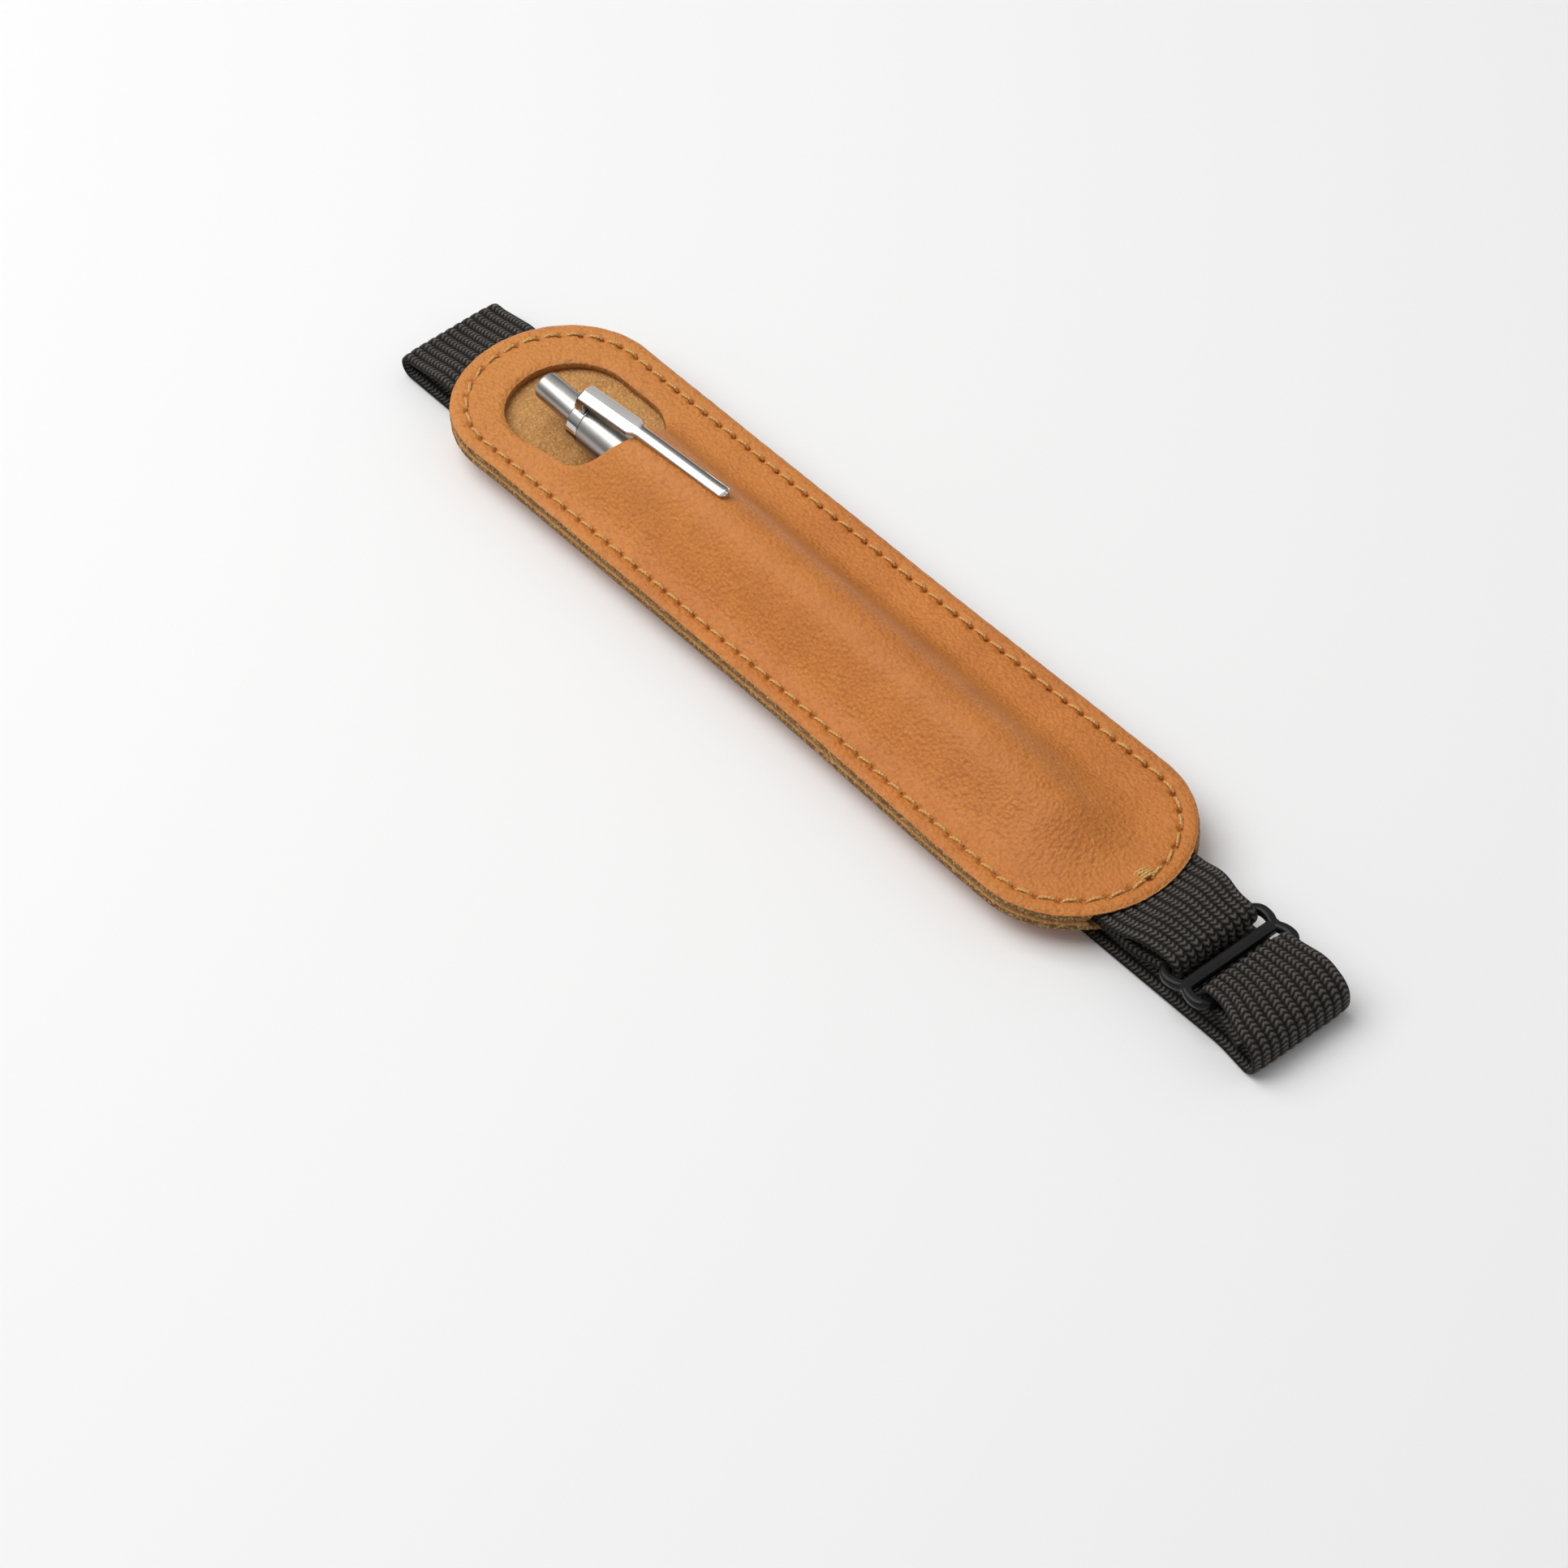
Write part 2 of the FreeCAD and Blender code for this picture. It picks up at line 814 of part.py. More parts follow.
def clip_plan(start, root_end, end):
    """Plan of the clip: parallel root, drawn-in shoulders and a slim arm with a round end."""
    half_root = clip_width / 2
    half_arm = clip_arm_width / 2
    corners = [
        vector(end - half_arm, -half_arm, 0),
        vector(root_end + clip_shoulder, -half_arm, 0),
        vector(root_end, -half_root, 0),
        vector(start, -half_root, 0),
        vector(start, half_root, 0),
        vector(root_end, half_root, 0),
        vector(root_end + clip_shoulder, half_arm, 0),
        vector(end - half_arm, half_arm, 0),
    ]
    edges = [Part.LineSegment(a, b).toShape() for a, b in zip(corners, corners[1:])]
    edges.append(Part.Arc(corners[-1], vector(end, 0, 0), corners[0]).toShape())
    return Part.Face(Part.Wire(edges))


NODES = {
    "front_panel": front_panel,
    "back_panel": back_panel,
    "front_stitches": lambda: seam_stitches(front_top, False),
    "back_stitches": lambda: seam_stitches(board_top, True),
    "strap_head_fold": strap_head_fold,
    "strap_lower_run": strap_lower_run,
    "strap_foot_loop": strap_foot_loop,
    "strap_short_loop": strap_short_loop,
    "slider_frame": slider_frame,
    "push_button": push_button,
    "clip_collar": clip_collar,
    "upper_barrel": upper_barrel,
    "lower_barrel": lower_barrel,
    "nose_cone": nose_cone,
    "cam_sleeve": cam_sleeve,
    "cam_rotor": cam_rotor,
    "refill_tube": refill_tube,
    "refill_point": refill_point,
    "return_spring": return_spring,
    "pen_clip": pen_clip,
}

os.makedirs("parts", exist_ok=True)
for node, build in NODES.items():
    shape = build()
    shape.exportStep("parts/" + node + ".step")
    print(node, len(shape.Solids), shape.isValid())
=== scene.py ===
"""Looks of the leather pen case on an elastic strap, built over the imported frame."""

import logging
import math
from dataclasses import dataclass
from enum import Enum, IntEnum
from typing import Callable, Optional, Sequence

import bpy
from mathutils import Matrix, Vector, noise
from mathutils.geometry import delaunay_2d_cdt


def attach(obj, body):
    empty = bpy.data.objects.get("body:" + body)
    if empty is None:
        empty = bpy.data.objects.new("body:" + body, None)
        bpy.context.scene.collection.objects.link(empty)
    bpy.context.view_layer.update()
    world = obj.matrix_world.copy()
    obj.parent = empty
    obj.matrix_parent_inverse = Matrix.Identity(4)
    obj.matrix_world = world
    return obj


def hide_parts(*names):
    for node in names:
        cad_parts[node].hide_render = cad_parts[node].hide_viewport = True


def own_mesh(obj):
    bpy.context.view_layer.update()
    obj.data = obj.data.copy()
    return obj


LOG = logging.getLogger("pen_case")
MM = 0.001
Point2 = tuple[float, float]
Point3 = tuple[float, float, float]
Colour = tuple[float, float, float]
Numbers = tuple[float, ...]
Route = tuple[Point2, ...]
Face = tuple[int, ...]
Socket = bpy.types.NodeSocket
Material = bpy.types.Material
Piece = bpy.types.Object

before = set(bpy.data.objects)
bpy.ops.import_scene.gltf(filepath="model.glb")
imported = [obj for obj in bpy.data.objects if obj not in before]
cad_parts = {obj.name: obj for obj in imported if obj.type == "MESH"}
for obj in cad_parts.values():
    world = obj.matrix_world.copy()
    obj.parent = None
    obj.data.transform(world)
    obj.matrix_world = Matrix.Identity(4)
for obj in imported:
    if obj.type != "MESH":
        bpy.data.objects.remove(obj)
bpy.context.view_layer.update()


class Body(str, Enum):
    """Moving bodies that the pieces ride on."""

    CASE = "case"
    SLIDER = "slider"
    PEN = "pen"
    CLIP = "clip"
    CLICK = "click_train"


class Side(Enum):
    """Which way a seam row faces."""

    FRONT = 1.0
    BACK = -1.0


class Skin(IntEnum):
    """Finish numbers of a leather panel."""

    UPPER = 0
    EDGE = 1
    LOWER = 2
    WINDOW = 3


def smooth(low: float, high: float, value: float) -> float:
    """Ease from 0 at low to 1 at high."""
    share = min(max((value - low) / (high - low), 0.0), 1.0)
    return share * share * (3 - 2 * share)


def hump(rise: Point2, fall: Point2, value: float) -> float:
    """Ease from 0 to 1 over one range and back to 0 over a later one."""
    return smooth(*rise, value) * (1 - smooth(*fall, value))


def bell(distance: float, width: float) -> float:
    """Rounded bump of height 1 that fades over a width."""
    return math.exp(-((distance / width) ** 2))


def even(start: float, end: float, parts: int) -> list[float]:
    """Evenly spaced numbers from start to end."""
    return [start + (end - start) * part / parts for part in range(parts + 1)]


def show(name: str, data: bpy.types.ID) -> Piece:
    """Put data into the scene as an object.

    Args:
        name: Name of the object.
        data: Mesh, curve, camera or light.

    Returns:
        The object, linked to the scene.
    """
    shown = bpy.data.objects.new(name, data)
    bpy.context.scene.collection.objects.link(shown)
    return shown


def skin(rings: Sequence[Sequence[int]], closed: bool) -> list[Face]:
    """Join rings of points with faces.

    Args:
        rings: Point numbers of each ring; a pole repeats one number.
        closed: Whether the last ring meets the first one; else both ends are capped.

    Returns:
        The faces.
    """
    faces: list[Face] = []
    for row in range(len(rings) if closed else len(rings) - 1):
        ring, after = rings[row], rings[(row + 1) % len(rings)]
        for index in range(len(ring)):
            onward = (index + 1) % len(ring)
            face = dict.fromkeys((ring[index], ring[onward], after[onward], after[index]))
            if len(face) > 2:
                faces.append(tuple(face))
    if not closed:
        faces += [tuple(reversed(rings[0])), tuple(rings[-1])]
    return faces


def make_piece(
    name: str,
    points: Sequence[Point3],
    faces: Sequence[Face],
    materials: Sequence[Material],
    kinds: Optional[Sequence[int]] = None,
    flat_angle: float = 40.0,
) -> Piece:
    """Make a mesh object at the origin from points in millimetres.

    Args:
        name: Name of the piece.
        points: Corners in millimetres.
        faces: Corner numbers of each face.
        materials: Finishes of the piece.
        kinds: Finish number of each face, if there are several.
        flat_angle: Edges sharper than this stay crisp, in degrees.

    Returns:
        The new object, linked to the scene.
    """
    mesh = bpy.data.meshes.new(name)
    mesh.from_pydata([(x * MM, y * MM, z * MM) for x, y, z in points], [], faces)
    for material in materials:
        mesh.materials.append(material)
    if kinds is not None:
        mesh.polygons.foreach_set("material_index", [int(kind) for kind in kinds])
    mesh.polygons.foreach_set("use_smooth", [True] * len(mesh.polygons))
    mesh.set_sharp_from_angle(angle=math.radians(flat_angle))
    mesh.update()
    return show(name, mesh)


def place(piece: Piece, body: Body, nodes: Sequence[str]) -> None:
    """Let a piece ride on its body and stand for its CAD nodes.

    Args:
        piece: The finished piece.
        body: Body that it moves with.
        nodes: CAD nodes that it stands for.
    """
    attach(piece, body.value)
    if nodes:
        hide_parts(*nodes)
    LOG.info("%s: %d faces on %s", piece.name, len(piece.data.polygons), body.value)


@dataclass
class NodeBench:
    """Small helper that lays nodes into one tree."""

    tree: bpy.types.NodeTree

    def feed(self, node: bpy.types.Node, links: dict) -> None:
        """Link sockets or set plain values, by the input's name or number.

        Args:
            node: Node to feed.
            links: Input name or number to an output socket or a plain value.
        """
        for key, value in links.items():
            if isinstance(value, Socket):
                self.tree.links.new(value, node.inputs[key])
            else:
                node.inputs[key].default_value = value

    def add(self, kind: str, links: Optional[dict] = None, **settings: object) -> bpy.types.Node:
        """Add a node.

        Args:
            kind: Type name of the node.
            links: Input name or number to an output socket or a plain value.
            settings: Properties of the node.

        Returns:
            The new node.
        """
        node = self.tree.nodes.new(kind)
        for key, value in settings.items():
            setattr(node, key, value)
        self.feed(node, links or {})
        return node

    def flow(self, kind: str, links: Optional[dict] = None, **settings: object) -> Socket:
        """Add a node and return its first output."""
        return self.add(kind, links, **settings).outputs[0]

    def math(self, operation: str, *values: object) -> Socket:
        """Reckon with sockets or plain numbers."""
        return self.flow("ShaderNodeMath", dict(enumerate(values)), operation=operation)

    def join(self, x: object = 0.0, y: object = 0.0, z: object = 0.0) -> Socket:
        """Make a vector of three numbers."""
        return self.flow("ShaderNodeCombineXYZ", {0: x, 1: y, 2: z})

    def split(self, vector: Socket) -> Sequence[Socket]:
        """Take a vector apart into three numbers."""
        return self.add("ShaderNodeSeparateXYZ", {0: vector}).outputs

    def span(
        self, value: Socket, low: float, high: float, start: float = 0.0, end: float = 1.0
    ) -> Socket:
        """Map a value from start and end to low and high."""
        limits = {"Value": value, 1: start, 2: end, 3: low, 4: high}
        return self.flow("ShaderNodeMapRange", limits)

    def blend(self, share: Socket, low: object, high: Colour) -> Socket:
        """Mix a colour or a colour socket with a second colour by a share.

        Args:
            share: Share of the second colour.
            low: First colour or colour socket.
            high: Second colour.

        Returns:
            The colour socket.
        """
        base = low if isinstance(low, Socket) else (*low, 1.0)
        links = {0: share, 6: base, 7: (*high, 1.0)}
        return self.add("ShaderNodeMix", links, data_type="RGBA").outputs[2]

    def bump(self, height: Socket, strength: float, distance: float) -> Socket:
        """Turn a height into a normal."""
        links = {"Height": height, "Strength": strength, "Distance": distance}
        return self.flow("ShaderNodeBump", links)

    def local(self) -> Socket:
        """Place on the object itself."""
        return self.add("ShaderNodeTexCoord").outputs["Object"]

    def group(self, tree: bpy.types.NodeTree, values: dict[str, float]) -> Sequence[Socket]:
        """Set a shared group on Object coordinates and return its outputs."""
        links = {"Place": self.local(), **values}
        return self.add("ShaderNodeGroup", links, node_tree=tree).outputs

    def spot(self) -> Sequence[Socket]:
        """Place of a geometry point as three numbers."""
        return self.split(self.flow("GeometryNodeInputPosition"))

    def move(self, shape: Socket, **place_by: Socket) -> Socket:
        """Move the points of a shape to a Position or by an Offset."""
        return self.flow("GeometryNodeSetPosition", {"Geometry": shape, **place_by})

    def sweep(self, line: Socket, section: Socket) -> Socket:
        """Sweep a section along a line and cap its ends."""
        links = {"Curve": line, "Profile Curve": section, "Fill Caps": True}
        return self.flow("GeometryNodeCurveToMesh", links)

    def keep(self, shape: Socket, **values: Socket) -> Sequence[Socket]:
        """Keep values on the points of a shape for later.

        Args:
            shape: Geometry socket.
            values: Names and sockets of the values.

        Returns:
            The shape followed by the kept values.
        """
        node = self.add("GeometryNodeCaptureAttribute", {0: shape})
        for index, (key, value) in enumerate(values.items(), start=1):
            node.capture_items.new("FLOAT", key)
            self.tree.links.new(value, node.inputs[index])
        return node.outputs[: len(values) + 1]


def start_group(name: str, inputs: dict[str, float]) -> tuple[NodeBench, Sequence[Socket]]:
    """Start a shader group with a place to read and float values.

    Args:
        name: Name of the group.
        inputs: Float inputs with their usual values.

    Returns:
        A bench for its nodes and the sockets of its inputs.
    """
    tree = bpy.data.node_groups.new(name, "ShaderNodeTree")
    tree.interface.new_socket("Place", in_out="INPUT", socket_type="NodeSocketVector")
    for key, value in inputs.items():
        made = tree.interface.new_socket(key, in_out="INPUT", socket_type="NodeSocketFloat")
        made.default_value = value
    bench = NodeBench(tree)
    return bench, bench.add("NodeGroupInput").outputs


def end_group(bench: NodeBench, results: dict[str, Socket]) -> bpy.types.NodeTree:
    """Give a shader group its float outputs and return the group.

    Args:
        bench: Bench of the group.
        results: Names and sockets of the outputs.

    Returns:
        The group.
    """
    for key in results:
        bench.tree.interface.new_socket(key, in_out="OUTPUT", socket_type="NodeSocketFloat")
    bench.add("NodeGroupOutput", results)
    return bench.tree


def grain_group() -> bpy.types.NodeTree:
    """Shared grain: slow clouding, small pebbles and fine specks.

    Returns:
        The group.
    """
    bench, taken = start_group("grain", {"Cloud Scale": 60.0, "Pebble Scale": 1400.0})
    spot, cloud_scale, pebble_scale = taken["Place"], taken["Cloud Scale"], taken["Pebble Scale"]
    slow = {"Vector": spot, "Scale": cloud_scale, "Detail": 5.0, "Roughness": 0.6}
    cells = {"Vector": spot, "Scale": pebble_scale}
    fine = {"Vector": spot, "Scale": pebble_scale, "Detail": 3.0}
    results = {
        "Cloud": bench.flow("ShaderNodeTexNoise", slow),
        "Pebble": bench.flow("ShaderNodeTexVoronoi", cells, feature="SMOOTH_F1"),
        "Speck": bench.flow("ShaderNodeTexNoise", fine),
    }
    return end_group(bench, results)


def turning_group() -> bpy.types.NodeTree:
    """Shared turning marks and faint handling marks of hard pieces.

    Returns:
        The group.
    """
    bench, taken = start_group("turning_marks", {"Line Scale": 9000.0})
    squeeze = {"Vector": taken["Place"], "Scale": (1.0, 0.04, 0.04)}
    squeezed = bench.flow("ShaderNodeMapping", squeeze)
    lines = {"Vector": squeezed, "Scale": taken["Line Scale"], "Detail": 2.0}
    handling = {"Vector": taken["Place"], "Scale": 180.0, "Detail": 4.0}
    results = {
        "Lines": bench.flow("ShaderNodeTexNoise", lines),
        "Handling": bench.flow("ShaderNodeTexNoise", handling),
    }
    return end_group(bench, results)


@dataclass(frozen=True)
class Groups:
    """Shader groups that several finishes use."""

    grain: bpy.types.NodeTree
    turning: bpy.types.NodeTree


def start_material(
    name: str, constants: dict[str, float]
) -> tuple[Material, NodeBench, bpy.types.Node]:
    """Start a node material with a plain shader.

    Args:
        name: Name of the finish.
        constants: Shader inputs that are the same all over.

    Returns:
        The material, a bench for its nodes, and its shader.
    """
    material = bpy.data.materials.new(name)
    material.use_nodes = True
    bench = NodeBench(material.node_tree)
    shader = material.node_tree.nodes["Principled BSDF"]
    bench.feed(shader, constants)
    return material, bench, shader


@dataclass(frozen=True)
class HideFinish:
    """Leather side or cut edge: two tones, flecks, painted shade in the grain's creases and a grain
    height.
    """

    name: str
    deep: Colour
    light: Colour
    fleck: Colour
    fleck_share: float
    roughness: float
    cloud_scale: float
    pebble_scale: float
    height: float
    head_pale: float = 0.0
    head_pale_range: Point2 = (-0.085, -0.020)
    spread: float = 0.1
    # share and tone of the painted shade in the grain's creases
    crease_shade_share: float = 0.33
    crease_shade_tone: float = 0.62
    depth: float = 0.00026

    def make(self, groups: Groups) -> Material:
        """Build the material, paler at the head end and fading out along the case.

        Args:
            groups: Shader groups that finishes share.

        Returns:
            The material.
        """
        material, bench, shader = start_material(self.name, {"Specular IOR Level": 0.28})
        scales = {"Cloud Scale": self.cloud_scale, "Pebble Scale": self.pebble_scale}
        grain = bench.group(groups.grain, scales)
        colour = bench.blend(bench.span(grain["Cloud"], 0.0, 1.0, 0.2, 0.8), self.deep, self.light)
        # paler towards the head end, fading out by the end of the range
        if self.head_pale > 0.0:
            along = bench.split(bench.local())[0]
            near = bench.span(along, self.head_pale, 0.0, *self.head_pale_range)
            colour = bench.blend(near, colour, self.fleck)
        flecks = bench.span(grain["Speck"], 0.0, self.fleck_share, 0.48, 0.72)
        colour = bench.blend(flecks, colour, self.fleck)
        # painted shade: the grain's creases are darkened towards a darker copy of the deep tone
        crease_shade = bench.span(grain["Pebble"], 0.0, self.crease_shade_share, 0.38, 0.75)
        colour = bench.blend(crease_shade, colour, tuple(self.crease_shade_tone * part for part in self.deep))
        low, high = self.roughness - self.spread, self.roughness + self.spread
        both = bench.math("ADD", grain["Pebble"], grain["Speck"])
        bench.feed(shader, {
            "Base Color": colour,
            "Roughness": bench.span(grain["Speck"], low, high, 0.3, 0.7),
            "Normal": bench.bump(both, self.height, self.depth),
        })
        return material


@dataclass(frozen=True)
class YarnFinish:
    """Twisted yarn: slanted strands on the piece's own lay."""

    name: str
    deep: Colour
    light: Colour
    strands_along: float
    strands_across: float
    roughness: float
    sheen: float
    slant: float = 0.12
    spread: float = 0.08
    depth: float = 0.0002

    def make(self, groups: Groups) -> Material:
        """Build the material on the lay of the piece.

        Args:
            groups: Shader groups that finishes share.

        Returns:
            The material.
        """
        constants = {"Specular IOR Level": 0.3, "Sheen Weight": self.sheen, "Sheen Roughness": 0.4}
        material, bench, shader = start_material(self.name, constants)
        lay = bench.flow("ShaderNodeUVMap", uv_map="lay")
        leant = bench.flow("ShaderNodeMapping", {"Vector": lay, "Rotation": (0.0, 0.0, self.slant)})
        coarse = {"Vector": leant, "Scale": self.strands_along, "Distortion": 1.2}
        coarse |= {"Detail": 2.0, "Detail Scale": 2.5}
        fine = {"Vector": lay, "Scale": self.strands_across, "Distortion": 2.0, "Detail": 2.0}
        along = bench.add("ShaderNodeTexWave", coarse, bands_direction="X").outputs["Fac"]
        across = bench.add("ShaderNodeTexWave", fine, bands_direction="Y").outputs["Fac"]
        grain = bench.group(groups.grain, {"Cloud Scale": 240.0, "Pebble Scale": 5200.0})
        strand = bench.math("MULTIPLY", along, across)
        tone = bench.span(bench.math("MULTIPLY", strand, grain["Speck"]), 0.0, 1.0, 0.08, 0.6)
        low, high = self.roughness - self.spread, self.roughness + self.spread
        bench.feed(shader, {
            "Base Color": bench.blend(tone, self.deep, self.light),
            "Roughness": bench.span(grain["Cloud"], low, high),
            "Normal": bench.bump(strand, 0.7, self.depth),
        })
        return material


@dataclass(frozen=True)
class ElasticFinish:
    """Ribbed elastic: painted shade in the furrows between ribs, slanted cross yarn on each rib and
    painted highlights on the yarn.
    """

    name: str
    # tone of the painted shade in the furrows between ribs
    furrow: Colour
    yarn: Colour
    # tone of the painted highlight on the yarn
    painted_highlight: Colour
    rib_pitch: float
    yarn_pitch: float
    roughness: float
    yarn_lean: float = 1.1
    yarn_stray: float = 0.5
    spread: float = 0.08
    depth: float = 0.00022

    def make(self, groups: Groups) -> Material:
        """Build the material on the lay of the band.

        Args:
            groups: Shader groups that finishes share.

        Returns:
            The material.
        """
        constants = {"Specular IOR Level": 0.12, "Sheen Weight": 0.03, "Sheen Roughness": 0.4}
        material, bench, shader = start_material(self.name, constants)
        calc = bench.math
        along, across, _ = bench.split(bench.flow("ShaderNodeUVMap", uv_map="lay"))
        beat = calc("FRACT", calc("MULTIPLY", across, 1 / self.rib_pitch))
        off = calc("ABSOLUTE", calc("SUBTRACT", beat, 0.5))
        grain = bench.group(groups.grain, {"Cloud Scale": 300.0, "Pebble Scale": 5200.0})
        lean = calc("MULTIPLY", off, self.yarn_lean)
        turns = calc("MULTIPLY_ADD", along, 1 / self.yarn_pitch, lean)
        turns = calc("MULTIPLY_ADD", grain["Cloud"], self.yarn_stray, turns)
        bead = bench.span(calc("SINE", calc("MULTIPLY", turns, 2 * math.pi)), 0.0, 1.0, -1.0, 1.0)
        strand = calc("MULTIPLY", bead, bench.span(off, 1.0, 0.0, 0.12, 0.5))
        # painted shade: the furrow tone fills the grooves between ribs and between yarn beads
        colour = bench.blend(bench.span(strand, 0.0, 1.0, 0.05, 0.8), self.furrow, self.yarn)
        # painted highlight: a bright tone on the yarn crowns, broken up by specks
        highlight_specks = bench.span(grain["Speck"], 0.0, 0.6, 0.52, 0.72)
        low, high = self.roughness - self.spread, self.roughness + self.spread
        bench.feed(shader, {
            "Base Color": bench.blend(calc("MULTIPLY", strand, highlight_specks), colour, self.painted_highlight),
            "Roughness": bench.span(grain["Cloud"], low, high),
            "Normal": bench.bump(calc("ADD", strand, grain["Speck"]), 0.9, self.depth),
        })
        return material


@dataclass(frozen=True)
class HardFinish:
    """Metal or moulded plastic with faint turning and handling marks."""

    name: str
    deep: Colour
    light: Colour
    metallic: float
    roughness: float
    spread: float
    line_scale: float
    line_height: float
    specular: float = 0.5
    depth: float = 0.00003

    def make(self, groups: Groups) -> Material:
        """Build the material from the shared marks.

        Args:
            groups: Shader groups that finishes share.

        Returns:
            The material.
        """
        constants = {"Metallic": self.metallic, "Specular IOR Level": self.specular}
        material, bench, shader = start_material(self.name, constants)
        marks = bench.group(groups.turning, {"Line Scale": self.line_scale})
        tone = bench.span(marks["Handling"], 0.0, 1.0, 0.3, 0.7)
        both = bench.math("MULTIPLY", marks["Lines"], marks["Handling"])
        low, high = self.roughness - self.spread, self.roughness + self.spread
        bench.feed(shader, {
            "Base Color": bench.blend(tone, self.deep, self.light),
            "Roughness": bench.span(both, low, high, 0.1, 0.45),
            "Normal": bench.bump(marks["Lines"], self.line_height, self.depth),
        })
        return material


HIDE = HideFinish(
    "tan_hide", (0.485, 0.152, 0.026), (0.64, 0.224, 0.042), (0.72, 0.32, 0.085),
    0.30, 0.44, 95.0, 1700.0, 0.9, 0.34,
)
CUT_EDGE = HideFinish(
    "cut_edge", (0.085, 0.040, 0.011), (0.25, 0.130, 0.042), (0.66, 0.44, 0.19),
    0.85, 0.8, 500.0, 2000.0, 1.0,
)
SUEDE = HideFinish(
    "suede", (0.43, 0.195, 0.055), (0.66, 0.340, 0.112), (0.80, 0.50, 0.22),
    0.65, 0.9, 260.0, 2200.0, 1.0,
)
WINDOW_RIM = HideFinish(
    "window_rim", (0.24, 0.092, 0.022), (0.40, 0.170, 0.045), (0.55, 0.30, 0.11),
    0.5, 0.7, 300.0, 2000.0, 0.7,
)
THREAD = YarnFinish(
    "waxed_thread", (0.60, 0.32, 0.085), (0.95, 0.64, 0.28), 420.0, 300.0, 0.45, 0.1,
)
# the furrow tone is painted shade between the ribs; the third tone is a painted highlight on the
# yarn
ELASTIC = ElasticFinish(
    "ribbed_elastic", (0.003, 0.0028, 0.0026), (0.092, 0.080, 0.069), (0.44, 0.38, 0.31),
    0.02 / 11, 0.00088, 0.62,
)
GLOSS = HardFinish(
    "gloss_black", (0.005, 0.005, 0.005), (0.010, 0.010, 0.010),
    0.0, 0.09, 0.03, 2500.0, 0.004, 0.14,
)
SATIN = HardFinish(
    "satin_metal", (0.35, 0.338, 0.318), (0.41, 0.398, 0.378), 1.0, 0.30, 0.03, 9000.0, 0.012,
)
CHROME = HardFinish(
    "polished_metal", (0.50, 0.492, 0.48), (0.56, 0.552, 0.54), 1.0, 0.085, 0.02, 5000.0, 0.002,
)
MOULDED = HardFinish(
    "moulded_white", (0.62, 0.62, 0.60), (0.72, 0.72, 0.70), 0.0, 0.45, 0.08, 2500.0, 0.05,
)
DRAWN = HardFinish(
    "drawn_tube", (0.45, 0.45, 0.45), (0.58, 0.58, 0.57), 1.0, 0.30, 0.08, 7000.0, 0.10,
)
BRASS = HardFinish(
    "turned_brass", (0.58, 0.42, 0.17), (0.72, 0.55, 0.25), 1.0, 0.28, 0.08, 8000.0, 0.10,
)
WIRE = HardFinish(
    "spring_wire", (0.42, 0.42, 0.43), (0.56, 0.56, 0.57), 1.0, 0.26, 0.08, 6000.0, 0.08,
)
INNER_WORKS = {
    "cam_sleeve": MOULDED, "cam_rotor": MOULDED, "refill_tube": DRAWN, "refill_point": BRASS,
}


@dataclass
class PenLine:
    """Place of the pen: its button end, its fall and its radii."""

    start: Point3 = (-76.8, -2.2, 12.4019)
    cos: float = 0.9997152
    sin: float = 0.0238636
    radius: float = 4.3
    taper_start: float = 73.0
    nose_start: float = 109.0
    taper_radius: float = 3.7
    nose_radius: float = 1.3
    length: float = 128.0

    def at(self, station: float, side: float, up: float) -> Point3:
        """Point of the case frame for a place along, beside and above the pen's axis.

        Args:
            station: Place along the axis from the button end.
            side: Place beside the axis.
            up: Place above the axis.

        Returns:
            The point, in millimetres.
        """
        x, y, z = self.start
        return (
            x + station * self.cos + up * self.sin,
            y + side,
            z - station * self.sin + up * self.cos,
        )

    def outline(self, station: float) -> float:
        """Radius of the pen at a station.

        Args:
            station: Place along the pen, in millimetres from its button end.

        Returns:
            The radius.
        """
        if station <= self.taper_start:
            return self.radius
        if station <= self.nose_start:
            share = (station - self.taper_start) / (self.nose_start - self.taper_start)
            return self.radius + (self.taper_radius - self.radius) * share
        share = min((station - self.nose_start) / (self.length - self.nose_start), 1.0)
        return self.taper_radius + (self.nose_radius - self.taper_radius) * share**2


